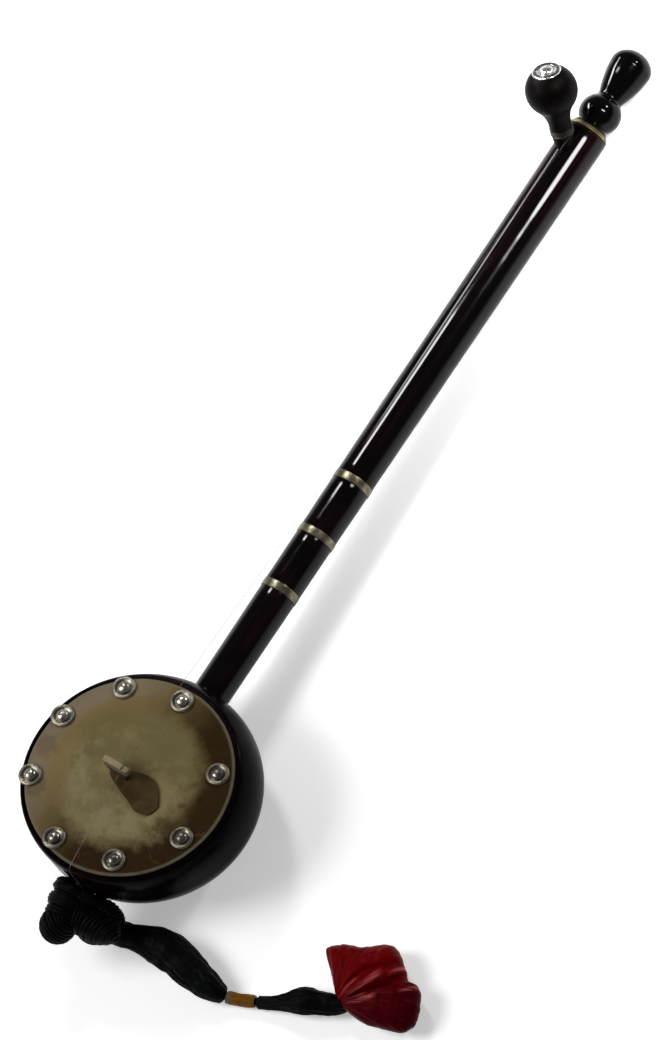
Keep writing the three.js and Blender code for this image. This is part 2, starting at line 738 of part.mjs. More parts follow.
function buildBridge() {
  const group = new THREE.Group();
  group.position.set(bridgePlaceX, bridgePlaceY, skinFace + fit + padThickness + fit);
  group.rotation.z = rad(bridgeTurn);
  const body = new THREE.Shape();
  body.moveTo(-bridgeFootWidth / 2, 0);
  body.lineTo(-bridgeArchWidth / 2, 0);
  body.quadraticCurveTo(-bridgeArchWidth / 4, bridgeArchHeight, 0, bridgeArchHeight);
  body.quadraticCurveTo(bridgeArchWidth / 4, bridgeArchHeight, bridgeArchWidth / 2, 0);
  body.lineTo(bridgeFootWidth / 2, 0);
  body.quadraticCurveTo(bridgeFootWidth / 2, bridgeHeight / 2, bridgeTopWidth / 2, bridgeHeight);
  body.lineTo(-bridgeTopWidth / 2, bridgeHeight);
  body.quadraticCurveTo(-bridgeFootWidth / 2, bridgeHeight / 2, -bridgeFootWidth / 2, 0);
  group.add(piece("bridge", stand(body, bridgeThickness), darkWood));

  const notchX = -bridgePlaceX;
  const shoulder = saddleHeight - saddleCrown;
  const crown = new THREE.QuadraticBezierCurve(
    v2(saddleWidth / 2, shoulder),
    v2(0, saddleHeight + saddleCrown),
    v2(-saddleWidth / 2, shoulder),
  );
  const strip = new THREE.Shape([v2(-saddleWidth / 2, 0), v2(saddleWidth / 2, 0), ...crown.getPoints(14)]);
  const notch = new THREE.CylinderGeometry(notchWidth / 2, notchWidth / 2, 3 * saddleThickness, 8);
  const notchZ = saddleHeight - notchDepth + notchWidth / 2;
  const saddle = solid(stand(strip, saddleThickness)).subtract(solid(notch.translate(notchX, 0, notchZ)));
  const saddleMesh = piece("bridge_saddle", surface(saddle), bone);
  saddleMesh.position.z = bridgeHeight + fit;
  group.add(saddleMesh);
  return group;
}

function buildPad() {
  const corners = padOutlineShares.map(([u, v]) => v3(padStart + u * padLength, v * padWidth, 0));
  const rim = new THREE.CatmullRomCurve3(corners, true, "centripetal").getPoints(36).slice(0, -1);
  const shape = new THREE.Shape(rim.map((point) => v2(point.x, point.y)));
  const leaf = new THREE.ExtrudeGeometry(shape, {
    depth: padThickness - 2 * padEase,
    bevelThickness: padEase,
    bevelSize: padEase,
    bevelOffset: -padEase,
    bevelSegments: 1,
  });
  return piece("bridge_pad", leaf.translate(0, 0, skinFace + fit + padEase), leather);
}

// The tassel lies on the table, so it is built upright and not in the leaning frame.
const cordPath = new THREE.CatmullRomCurve3(cordRoute.map(([x, y, z]) => v3(x, y, z)), false, "centripetal");
const cordLength = cordPath.getLength();
console.log(`tassel_cord: length ${cordLength.toFixed(1)} mm`);

const circle = (radius, sides) =>
  new THREE.Shape(
    Array.from({ length: sides }, (unused, k) => {
      const angle = (2 * Math.PI * k) / sides;
      return v2(radius * Math.cos(angle), radius * Math.sin(angle));
    }),
  );

function buildCord(radius) {
  return new THREE.ExtrudeGeometry(circle(radius, 10), { extrudePath: cordPath, steps: 40, bevelEnabled: false });
}

const cordBore = solid(buildCord(cordRadius + fit));

// A soft body on the cord between two places, its radius taken from shares along it and grown.
function cordBody(from, to, radius, shares, grown, sides) {
  const steps = 14;
  const points = [];
  for (let i = 0; i <= steps; i++) points.push(cordPath.getPointAt((from + ((to - from) * i) / steps) / cordLength));
  const bulge = new THREE.SplineCurve(shares.map((share, i) => v2(i, share)));
  return solid(tubeAlong(points, (share) => radius * bulge.getPoint(share).y + grown, sides));
}

function buildKnot() {
  const centre = v3(0, tailEnd, axisZ);
  let knot = null;
  for (const { centre: place, radii } of knotLobeShares) {
    const lobe = new THREE.SphereGeometry(1, 16, 10).scale(...radii.map((share) => share * knotSize));
    const lump = solid(lobe.translate(...place.map((share) => share * knotSize)).translate(...centre.toArray()));
    knot = knot ? knot.add(lump) : lump;
  }
  const bore = tailRadius + fit;
  const stub = [v2(0, 2 * tailEnd), v2(bore, 2 * tailEnd), v2(bore, 0), v2(0, 0)];
  stub[0].y = tailEnd - fit;
  stub[1].y = tailEnd - fit;
  knot = knot.subtract(solid(alongNeck(revolve(stub, 24))));
  const leaning = solid(surface(knot).applyMatrix4(leanMatrix));
  return piece("tail_knot", surface(leaning.subtract(cordBore)), blackSilk);
}

// The tuft: its outline in plan, domed above and below, thin at the neck.
function tuftBody(neck) {
  const corners = tuftOutlineShares.map(([u, v]) => v3(neck.x + u * tuftSize, neck.y + v * tuftSize, 0));
  const around = 40;
  const rim = new THREE.CatmullRomCurve3(corners, true, "centripetal").getPoints(around).slice(0, -1);
  const middle = rim.reduce((sum, point) => sum.add(point), v3(0, 0, 0)).divideScalar(around);
  const rings = 9;
  const spreadPower = 0.7;
  const positions = [];
  const index = [];
  const lift = (x, y, rise) => {
    const far = Math.min(1, Math.hypot(x - neck.x, y - neck.y) / (tuftFarShare * tuftSize));
    const swell = tuftNeckThicknessShare + (1 - tuftNeckThicknessShare) * Math.sin((far * Math.PI) / 2);
    return tuftLift + (tuftThickness / 2) * rise * swell;
  };
  positions.push(middle.x, middle.y, lift(middle.x, middle.y, -1));
  for (let r = 1; r < rings; r++) {
    const angle = -Math.PI / 2 + (Math.PI * r) / rings;
    const spread = Math.cos(angle) ** spreadPower;
    for (const point of rim) {
      const x = THREE.MathUtils.lerp(middle.x, point.x, spread);
      const y = THREE.MathUtils.lerp(middle.y, point.y, spread);
      positions.push(x, y, lift(x, y, Math.sin(angle)));
    }
  }
  const top = positions.length / 3;
  positions.push(middle.x, middle.y, lift(middle.x, middle.y, 1));
  const at = (r, k) => 1 + (r - 1) * around + (k % around);
  for (let k = 0; k < around; k++) {
    index.push(0, at(1, k + 1), at(1, k));
    for (let r = 1; r < rings - 1; r++) {
      index.push(at(r, k), at(r, k + 1), at(r + 1, k + 1), at(r, k), at(r + 1, k + 1), at(r + 1, k));
    }
    index.push(at(rings - 1, k), at(rings - 1, k + 1), top);
  }
  const geometry = new THREE.BufferGeometry();
  geometry.setAttribute("position", new THREE.Float32BufferAttribute(positions, 3));
  geometry.setIndex(index);
  return solid(geometry);
}

function buildTassel() {
  const upperEnd = wrapStart - tasselGap;
  const wrapEnd = wrapStart + wrapLength;
  const lowerStart = wrapEnd + tasselGap;
  const lowerEnd = lowerStart + lowerSleeveLength;
  const wrapEndShare = 1 - wrapEase / wrapRadius;
  const wrapShares = [wrapEndShare, 1, 1, 1, wrapEndShare];
  const upper = cordBody(sleeveStart, upperEnd, upperSleeveRadius, upperSleeveRadiusShares, 0, 16);
  const wrap = cordBody(wrapStart, wrapEnd, wrapRadius, wrapShares, 0, 14);
  const lower = cordBody(lowerStart, lowerEnd, lowerSleeveRadius, lowerSleeveRadiusShares, 0, 14);
  const round = cordBody(lowerStart, lowerEnd + tasselGap, lowerSleeveRadius, lowerSleeveRadiusShares, tasselGap, 14);
  const tuft = tuftBody(cordPath.getPointAt(lowerEnd / cordLength)).subtract(round);
  return [
    piece("tassel_cord", buildCord(cordRadius), blackSilk),
    piece("tassel_sleeve_upper", surface(upper.subtract(cordBore)), blackSilk),
    piece("tassel_wrap", surface(wrap.subtract(cordBore)), goldThread),
    piece("tassel_sleeve_lower", surface(lower.subtract(cordBore)), blackSilk),
    piece("tassel_tuft", surface(tuft.subtract(cordBore)), redSilk),
  ];
}

const tumbi = new THREE.Group();
tumbi.add(buildBowl(), ...buildTassel(), buildKnot());

const instrument = new THREE.Group();
instrument.applyMatrix4(leanMatrix);
instrument.add(buildSkin(), ...buildTacks(), buildNeck(), ...buildBands(), buildCollar(), buildFinial());
instrument.add(buildBridge(), buildPad(), buildString());
tumbi.add(instrument);

const peg = new THREE.Group();
peg.applyMatrix4(pegMatrix);
peg.add(...buildPeg(), buildWinding());
instrument.add(peg);

export default tumbi;
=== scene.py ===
import logging
import math
from dataclasses import dataclass, field
from enum import Enum
from functools import partial
from typing import Callable, Iterator, Sequence

import bmesh
import bpy
import numpy as np
from mathutils import Matrix, Vector
from mathutils.bvhtree import BVHTree


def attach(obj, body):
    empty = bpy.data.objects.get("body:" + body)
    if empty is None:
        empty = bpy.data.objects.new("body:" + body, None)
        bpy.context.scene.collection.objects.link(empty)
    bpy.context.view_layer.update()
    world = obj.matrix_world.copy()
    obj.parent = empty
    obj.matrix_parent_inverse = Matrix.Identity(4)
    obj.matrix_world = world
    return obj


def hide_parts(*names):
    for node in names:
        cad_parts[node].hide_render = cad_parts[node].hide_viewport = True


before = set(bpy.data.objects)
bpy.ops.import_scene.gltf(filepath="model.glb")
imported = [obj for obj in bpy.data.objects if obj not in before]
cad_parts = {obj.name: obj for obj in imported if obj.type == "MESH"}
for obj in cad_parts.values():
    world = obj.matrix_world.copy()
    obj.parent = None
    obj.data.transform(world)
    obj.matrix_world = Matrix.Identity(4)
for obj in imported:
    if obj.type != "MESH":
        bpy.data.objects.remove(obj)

log = logging.getLogger("tumbi")
logging.basicConfig(level=logging.INFO, format="%(name)s: %(message)s")

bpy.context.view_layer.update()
MM = 0.001
FULL_TURN = 2 * math.pi
ON_AXIS = 1e-6
Point = tuple[float, float, float]
Color = tuple[float, float, float]
Outline = list[tuple[float, float]]
Piece = bpy.types.Object
Socket = bpy.types.NodeSocket


# Sizes that the dressed pieces share with the solids, in millimetres


@dataclass(frozen=True)
class Sizes:
    """Sizes of the bowl, the stick and their places. Each tack has an angle and its share of the way in."""

    rim_radius: float = 73
    belly_radius: float = 77
    belly_drop: float = 28
    belly_shift: tuple[float, float] = (2.2, 5.2)
    bowl_depth: float = 75
    bowl_wall: float = 8
    skin_radius: float = 70
    skin_base: float = 75.3
    skin_face: float = 76.5
    axis_z: float = 42.5
    neck_end: float = 534.3
    neck_body_radius: float = 12.5
    neck_head_radius: float = 14.9
    lean: float = math.radians(2.595339)
    drop: float = 1.5
    tacks: tuple[tuple[float, float], ...] = (
        (127, 0.127), (89, 0.164), (29.5, 0.196), (-20, 0.2),
        (-66.5, 0.193), (-109, 0.141), (-153.5, 0.092), (166.5, 0.105),
    )

    def neck_radius(self, y: float) -> float:
        """Radius of the neck at a place along it."""
        run = (y - self.belly_radius) / (self.neck_end - self.belly_radius)
        return self.neck_body_radius + (self.neck_head_radius - self.neck_body_radius) * run

    def tack_places(self) -> list[Point]:
        """The x and y of each tack's middle, and the angle that it lies at, in radians."""
        polar = [(math.radians(angle), self.rim_radius * (1 - inset)) for angle, inset in self.tacks]
        return [(r * math.cos(a), r * math.sin(a), a) for a, r in polar]

    def leaning(self) -> Matrix:
        """Matrix from the instrument's own frame to the table's, in metres."""
        return Matrix.Translation((0, 0, -self.drop * MM)) @ Matrix.Rotation(-self.lean, 4, "X")

    def along_neck(self) -> Matrix:
        """Matrix that lays a turned piece, drawn about +Z, along the neck's axis."""
        up = Matrix.Translation((0, 0, self.axis_z * MM))
        return self.leaning() @ up @ Matrix.Rotation(-math.pi / 2, 4, "X")


SIZES = Sizes()
LEANING = SIZES.leaning()
ALONG_NECK = SIZES.along_neck()

CORD_ROUTE = [
    (18, -88, 38), (25, -83, 31), (31.5, -79, 25.5), (37, -76.6, 21.2), (43.6, -74.8, 17.9),
    (51.5, -73.4, 15.2), (60, -73.2, 13.9), (68.3, -74, 13.2), (76.5, -75.8, 12.5),
    (84.8, -77.7, 11.6), (92.5, -79.3, 10.6), (100, -80.4, 9.3), (105.5, -80.6, 7.3),
    (110.5, -80.2, 5.9), (118.2, -78.3, 5.3), (124, -76.2, 5.2), (129.1, -74.2, 5.3),
    (135.8, -71.9, 5.6), (145.2, -67.4, 6.8), (155.7, -61.6, 8.9), (162, -58.4, 9.6),
    (171.6, -55.1, 9), (179.8, -51.9, 9.2), (186.4, -49, 10.2), (192.4, -45.9, 11.5),
]


# Lines and meshes


def noise_1d(x: float | np.ndarray, seed: int) -> np.ndarray:
    """Smooth repeatable noise from three sines.

    Args:
        x: places, where one unit is about one bump.
        seed: picks the phases.

    Returns:
        Values of about -1 to 1.
    """
    rng = np.random.default_rng(seed)
    total = np.zeros_like(np.asarray(x, float))
    for octave in range(3):
        phase, rate = rng.uniform(0, FULL_TURN), rng.uniform(0.8, 1.25)
        total = total + np.sin(np.asarray(x) * rate * 2**octave * math.pi + phase) / 2**octave
    return total / 1.8


def catmull(points: Sequence[Sequence[float]], steps: int, closed: bool = False) -> np.ndarray:
    """Samples a Catmull-Rom curve through points.

    Args:
        points: the points that it passes through.
        steps: samples in each stretch between two points.
        closed: whether the curve returns to its first point.

    Returns:
        One row for each sample.
    """
    p = np.asarray(points, float)
    padded = np.concatenate([p[-1:], p, p[:2]] if closed else [p[:1], p, p[-1:]])
    t = np.linspace(0, 1, steps, endpoint=False)[:, None]
    rows = [
        0.5 * (2 * b + (c - a) * t + (2 * a - 5 * b + 4 * c - d) * t**2 + (3 * b - a - 3 * c + d) * t**3)
        for a, b, c, d in zip(padded, padded[1:], padded[2:], padded[3:])
    ]
    return np.concatenate(rows if closed else [*rows, p[-1:]])


def distances(points: np.ndarray) -> np.ndarray:
    """How far along a line each of its points is."""
    return np.concatenate([[0], np.cumsum(np.linalg.norm(np.diff(points, axis=0), axis=1))])


def sampled(points: np.ndarray, along: np.ndarray, places: np.ndarray) -> np.ndarray:
    """The points at some places along a line, whose own points are at the distances along."""
    return np.stack([np.interp(places, along, points[:, k]) for k in range(points.shape[1])], 1)


def evenly(points: np.ndarray, count: int) -> tuple[np.ndarray, float]:
    """A line's points at even distances, and its length."""
    along = distances(points)
    return sampled(points, along, np.linspace(0, along[-1], count)), float(along[-1])


def place(points: np.ndarray, matrix: Matrix) -> np.ndarray:
    """Takes points in millimetres through a matrix to metres in the table's frame."""
    m = np.array(matrix)
    return (points * MM) @ m[:3, :3].T + m[:3, 3]


def aimed(axis: Point) -> np.ndarray:
    """Rotation that turns +Z towards an axis, by the shortest way."""
    return np.array(Vector((0, 0, 1)).rotation_difference(Vector(axis)).to_matrix())


def arc(height: float, radius: float, half_height: float, start: float, end: float, steps: int) -> Outline:
    """Points of (radius, height) on an ellipse about the axis, angles in degrees."""
    turns = np.radians(np.linspace(start, end, steps + 1))
    return [(radius * math.cos(t), height + half_height * math.sin(t)) for t in turns]


def linked(name: str, data: bpy.types.ID) -> Piece:
    """Puts a new object into the scene.

    Args:
        name: the object's name.
        data: its mesh, curve, lamp or camera.

    Returns:
        The new object.
    """
    item = bpy.data.objects.new(name, data)
    bpy.context.scene.collection.objects.link(item)
    return item


def loft(
    name: str, rings: Sequence[np.ndarray], uv: Callable[[int, float], tuple[float, float]] | None = None,
    closed: bool = False, caps: bool = False, sharp: float = 40,
) -> Piece:
    """Makes a smooth-shaded mesh from ring to ring, at the origin, with its faces outwards.

    Args:
        name: the object's name.
        rings: the points of each ring in metres. A ring of one point is a pole.
        uv: gives the UV of a place from its ring and its step round the ring.
        closed: whether the last ring meets the first.
        caps: whether a face closes the first and the last ring.
        sharp: edges that turn by more than this many degrees stay sharp.

    Returns:
        The new object.
    """
    counts = [len(ring) for ring in rings]
    starts = np.cumsum([0, *counts]).tolist()
    faces: list = []
    uvs: list = []
    for i in range(len(rings) if closed else len(rings) - 1):
        poles = [counts[r % len(rings)] == 1 for r in (i, i + 1)]
        for k in range(0 if all(poles) else max(counts)):
            corners = [(i, k), (i, k + 1), (i + 1, k + 1), (i + 1, k)]
            if poles[0]:
                corners[:2] = [(i, k + 0.5)]
            elif poles[1]:
                corners[2:] = [(i + 1, k + 0.5)]
            around = [(r % len(rings), int(step)) for r, step in corners]
            faces.append([starts[r] + step % counts[r] for r, step in around])
            if uv:
                uvs += [uv(*corner) for corner in corners]
    if caps:
        faces += [list(range(counts[0])), list(range(starts[-2], starts[-1]))]
    mesh = bpy.data.meshes.new(name)
    mesh.from_pydata(np.concatenate(rings).tolist(), [], faces)
    if uv:
        mesh.uv_layers.new(name="UVMap").data.foreach_set("uv", np.array(uvs, float).ravel())
    work = bmesh.new()
    work.from_mesh(mesh)
    bmesh.ops.recalc_face_normals(work, faces=work.faces)
    work.to_mesh(mesh)
    work.free()
    mesh.shade_smooth()
    mesh.set_sharp_from_angle(angle=math.radians(sharp))
    return linked(name, mesh)


def lathe(
    name: str, outline: Outline, matrix: Matrix, segments: int = 128, closed: bool = False,
    shape: Callable[[np.ndarray], np.ndarray] | None = None,
) -> Piece:
    """Turns an outline about +Z, with UVs of (turn, share of the outline).

    Args:
        name: the object's name.
        outline: (radius, height) in millimetres, from axis to axis, or a loop where closed is true.
        matrix: places the turned piece.
        segments: steps round the axis.
        closed: whether the outline is a loop clear of the axis.
        shape: moves the turned points before they are placed, in millimetres.

    Returns:
        The turned object.
    """
    rows = np.asarray(outline, float)
    shares = distances(rows) / distances(rows)[-1]
    shares = [*shares, 1 + shares[1]]
    turns = FULL_TURN * np.arange(segments) / segments
    rings = []
    for radius, height in rows:
        steps = turns if radius > ON_AXIS else turns[:1]
        ring = np.stack([radius * np.cos(steps), radius * np.sin(steps), np.full(len(steps), height)], 1)
        rings.append(place(shape(ring) if shape else ring, matrix))
    return loft(name, rings, lambda i, k: (k / segments, shares[i]), closed)


def frames_along(line: np.ndarray) -> Iterator[tuple[np.ndarray, np.ndarray, np.ndarray]]:
    """Finds directions square to a line that don't twist about it.

    Args:
        line: the line's points.

    Yields:
        Each point, with two directions square to the line there.
    """
    normal = np.array([0.0, 0.0, 1.0])
    last = len(line) - 1
    for i, centre in enumerate(line):
        tangent = line[min(i + 1, last)] - line[max(i - 1, 0)]
        tangent /= np.linalg.norm(tangent)
        normal = normal - tangent * normal.dot(tangent)
        normal /= np.linalg.norm(normal)
        yield centre, normal, np.cross(tangent, normal)


def tube_rows(
    line: np.ndarray, radius: Callable[[float, np.ndarray], np.ndarray], sides: int
) -> np.ndarray:
    """Sections of a tube with a changing radius.

    Args:
        line: points in millimetres, in the table's frame.
        radius: section radii in millimetres, from the share of the way along and the angles.
        sides: corners of the section.

    Returns:
        An array of (section, corner, xyz).
    """
    angles = FULL_TURN * np.arange(sides) / sides
    rows = []
    for i, (centre, normal, side) in enumerate(frames_along(line)):
        r = radius(i / (len(line) - 1), angles)
        rows.append(centre + np.outer(r * np.cos(angles), normal) + np.outer(r * np.sin(angles), side))
    return np.array(rows)


def tube_object(name: str, rows: np.ndarray) -> Piece:
    """Closes sections into a tube, with UVs of (turn, length in metres).

    Args:
        name: the object's name.
        rows: the sections, in millimetres.

    Returns:
        The tube.
    """
    hubs = rows.mean(1)
    along = distances(hubs) * MM
    places = [0, *along, along[-1]]
    rings = [ring * MM for ring in (hubs[:1], *rows, hubs[-1:])]
    return loft(name, rings, lambda i, k: (k / rows.shape[1], places[i]), sharp=60)


def strand_on(
    rows: np.ndarray, side: float, drift: float, first: int, last: int, lift: float
) -> np.ndarray:
    """A line that runs along a tube's surface.

    Args:
        rows: the tube's sections.
        side: corner that the line starts on.
        drift: corners that it moves round the tube on the way.
        first: section that it starts at.
        last: section that it ends at.
        lift: height over the surface, in millimetres.

    Returns:
        The line's points.
    """
    points = []
    for i in range(first, last):
        corner = side + drift * (i - first) / max(1, last - first)
        low = math.floor(corner)
        share = corner - low
        point = rows[i, low % rows.shape[1]] * (1 - share) + rows[i, (low + 1) % rows.shape[1]] * share
        away = point - rows[i].mean(0)
        points.append(point + away / np.linalg.norm(away) * lift)
    return np.array(points)


def joined(name: str, parts: Sequence[Piece]) -> Piece:
    """Joins parts into one new mesh object, and removes them.

    Args:
        name: the new object's name.
        parts: the objects that it is made of.

    Returns:
        The new object.
    """
    work = bmesh.new()
    for part in parts:
        work.from_mesh(part.data)
        bpy.data.objects.remove(part)
    mesh = bpy.data.meshes.new(name)
    work.to_mesh(mesh)
    work.free()
    mesh.shade_smooth()
    return linked(name, mesh)


def lines_object(name: str, lines: Sequence[np.ndarray], sizes: Sequence[Point] = ()) -> Piece:
    """A mesh of open lines of edges. A line of one point is a loose point.

    Args:
        name: the object's name.
        lines: the points of each line, in metres.
        sizes: a size for each point, kept as the attribute size.

    Returns:
        The new object.
    """
    points = np.concatenate(lines)
    ends = set(np.cumsum([len(line) for line in lines]).tolist())
    mesh = bpy.data.meshes.new(name)
    mesh.from_pydata(points.tolist(), [(i - 1, i) for i in range(1, len(points)) if i not in ends], [])
    if len(sizes):
        attribute = mesh.attributes.new("size", "FLOAT_VECTOR", "POINT")
        attribute.data.foreach_set("vector", np.array(sizes, float).ravel())
    return linked(name, mesh)


# Material building blocks


@dataclass(frozen=True)
class Value:
    """A number that a material works out. Its arithmetic adds nodes."""

    sketch: "Sketch"
    socket: Socket

    def __add__(self, other: "Value | float") -> "Value":
        """The sum."""
        return self.sketch.math("ADD", self, other)

    def __sub__(self, other: "Value | float") -> "Value":
        """The difference."""
        return self.sketch.math("SUBTRACT", self, other)

    def __mul__(self, other: "Value | float") -> "Value":
        """The product."""
        return self.sketch.math("MULTIPLY", self, other)

    def larger(self, other: "Value | float") -> "Value":
        """The larger of two."""
        return self.sketch.math("MAXIMUM", self, other)

    def around(self, size: float) -> "Value":
        """Takes 0 to 1 onto a range of this size about zero."""
        return self.sketch.math("MULTIPLY_ADD", self, size, -size / 2)

    def between(self, low: float, high: float) -> "Value":
        """0 below low, 1 above high, smooth between."""
        return self.sketch.remap(self, Ramp.FROM, low, high)

    def ranged(self, low: float, high: float) -> "Value":
        """Takes 0 to 1 onto low to high."""
        return self.sketch.remap(self, Ramp.TO, low, high)


class Blend(Enum):
    """How a colour is laid over another."""

    MIX = "MIX"
    MULTIPLY = "MULTIPLY"


class Ramp(Enum):
    """Which side of a mapped range is given, and how it is mapped."""

    FROM = "SMOOTHSTEP"
    TO = "LINEAR"


class Sketch:
    """A material under construction: short calls for the nodes that the finishes use."""

    def __init__(self, name: str) -> None:
        """Starts the material with its shader.

        Args:
            name: the material's name.
        """
        self.material = bpy.data.materials.new(name)
        self.material.use_nodes = True
        self.tree = self.material.node_tree
        self.tree.nodes.clear()
        self.shader = self.add("BsdfPrincipled")
        self.tree.links.new(self.shader.outputs["BSDF"], self.add("OutputMaterial").inputs["Surface"])

    def add(self, kind: str, settings: dict[str, str] | None = None, **inputs: object) -> bpy.types.Node:
        """Adds a shader node.

        Args:
            kind: the node's type, without its prefix.
            settings: properties of the node.
            inputs: a value or a socket for each input, by its name with underscores for spaces.

        Returns:
            The node.
        """
        node = self.tree.nodes.new(f"ShaderNode{kind}")
        for key, value in (settings or {}).items():
            setattr(node, key, value)
        for key, value in inputs.items():
            self.feed(node.inputs[key.replace("_", " ")], value)
        return node

    def feed(self, socket: Socket, value: object) -> None:
        """Links a value or a socket into an input, or sets the input to a plain value.

        Args:
            socket: the input.
            value: what goes into it.
        """
        value = value.socket if isinstance(value, Value) else value
        if isinstance(value, Socket):
            self.tree.links.new(value, socket)
        else:
            socket.default_value = value

    def constants(self, **values: float | tuple) -> None:
        """Sets inputs of the shader that are the same all over the surface."""
        for key, value in values.items():
            self.shader.inputs[key.replace("_", " ").title().replace("Ior", "IOR")].default_value = value

    def coords(self, scale: Point = (1, 1, 1), offset: Point = (0, 0, 0)) -> Socket:
        """Object coordinates, in metres, scaled and moved."""
        source = self.add("TexCoord").outputs["Object"]
        return self.add("Mapping", Scale=scale, Location=offset, Vector=source).outputs["Vector"]

    def uv(self, scale: Point = (1, 1, 1)) -> Socket:
        """The mesh's own UVs, scaled."""
        source = self.add("UVMap", {"uv_map": "UVMap"}).outputs["UV"]
        return self.add("Mapping", Scale=scale, Vector=source).outputs["Vector"]

    def noise(
        self, scale: float, detail: float = 4, rough: float = 0.55, warp: float = 0,
        at: Socket | None = None,
    ) -> Value:
        """Adds noise of 0 to 1.

        Args:
            scale: bumps to the unit.
            detail: how many finer layers it has.
            rough: how strong the finer layers are.
            warp: how far it distorts itself.
            at: the vector that it runs over, or else object coordinates.

        Returns:
            The noise.
        """
        over = self.coords() if at is None else at
        layers = {"Detail": detail, "Roughness": rough, "Distortion": warp}
        node = self.add("TexNoise", Vector=over, Scale=scale, **layers)
        return Value(self, node.outputs["Fac"])

    def split(self, vector: Socket) -> tuple[Value, ...]:
        """The three parts of a vector."""
        return tuple(Value(self, part) for part in self.add("SeparateXYZ", Vector=vector).outputs)

    def math(self, operation: str, a: object, b: object = 0.0, c: object = 0.0) -> Value:
        """Adds one step of arithmetic.

        Args:
            operation: the step's name.
            a: the first number.
            b: the second number.
            c: the third number.

        Returns:
            The result.
        """
        node = self.add("Math", {"operation": operation})
        for socket, value in zip(node.inputs, (a, b, c)):
            self.feed(socket, value)
        return Value(self, node.outputs[0])

    def length(self, x: Value, y: Value) -> Value:
        """How far a place is from the middle."""
        return self.math("SQRT", x * x + y * y)

    def remap(self, value: Value, ramp: Ramp, low: float, high: float) -> Value:
        """Maps a value from or to a range, with the other side 0 to 1.

        Args:
            value: the value.
            ramp: the side that the range is on.
            low: one end of the range.
            high: its other end.

        Returns:
            The mapped value.
        """
        side = ramp.name.title()
        limits = {f"{side}_Min": low, f"{side}_Max": high}
        node = self.add("MapRange", {"interpolation_type": ramp.value}, Value=value, **limits)
        return Value(self, node.outputs["Result"])

    def mix(self, share: object, a: object, b: object, blend: Blend = Blend.MIX) -> Socket:
        """Mixes two colours.

        Args:
            share: how much of the second colour shows.
            a: the first colour.
            b: the second colour.
            blend: how they are blended.

        Returns:
            The mixed colour.
        """
        node = self.add("Mix", {"data_type": "RGBA", "blend_type": blend.value})
        sockets = {s.identifier: s for s in (*node.inputs, *node.outputs)}
        self.feed(sockets["Factor_Float"], share)
        for key, value in (("A_Color", a), ("B_Color", b)):
            self.feed(sockets[key], (*value, 1) if isinstance(value, tuple) else value)
        return sockets["Result_Color"]

    def bump(self, height: Value, depth: float, strength: float = 1, onto: Socket | None = None) -> Socket:
        """Adds relief.

        Args:
            height: the relief, 0 to 1.
            depth: how deep it is, in metres.
            strength: how much of it shows.
            onto: a normal that already has relief.

        Returns:
            The normal.
        """
        node = self.add("Bump", Distance=depth, Strength=strength, Height=height)
        if onto is not None:
            self.feed(node.inputs["Normal"], onto)
        return node.outputs["Normal"]

    def finish(
        self, color: Socket, roughness: object, normal: Socket, **constants: object
    ) -> bpy.types.Material:
        """Feeds the shader.

        Args:
            color: the base colour.
            roughness: a number or a value.
            normal: the normal with its relief.
            constants: inputs that are the same all over the surface.

        Returns:
            The finished material.
        """
        self.constants(**constants)
        for key, value in (("Base Color", color), ("Roughness", roughness), ("Normal", normal)):
            self.feed(self.shader.inputs[key], value)
        return self.material


# Finishes


class Grain(Enum):
    """Which way the wood's grain runs."""

    ALONG_NECK = (300, 9, 300)
    UPRIGHT = (200, 200, 20)


@dataclass(frozen=True)
class Lacquer:
    """Deep glossy lacquer over wood: the grain just shows through, with specks and soft smears."""

    name: str
    dark: Color
    warm: Color
    gloss: float
    shine: float
    grain: Grain = Grain.ALONG_NECK
    ripple: float = 0.00003
    smears: float = 0.06

    def build(self) -> bpy.types.Material:
        """Builds the nodes.

        Returns:
            The material.
        """
        s = Sketch(self.name)
        grain = s.noise(1, 8, 0.6, 0.6, s.coords(self.grain.value))
        tone = grain.between(0.42, 0.7) * s.noise(22, 3).between(0.3, 0.75)
        smear = s.noise(90, 5, at=s.coords((1, 0.4, 1))).ranged(self.gloss, self.gloss + self.smears)
        speck = s.noise(1900, 2).between(0.7, 0.8)
        ripple = s.bump(s.noise(55, 2, at=s.coords((1, 0.5, 1))), self.ripple)
        peel = s.bump(s.noise(900, 2), 0.000003, 0.6, ripple)
        color = s.mix(tone, self.dark, self.warm)
        return s.finish(color, smear + speck * 0.2, peel, specular_ior_level=self.shine)


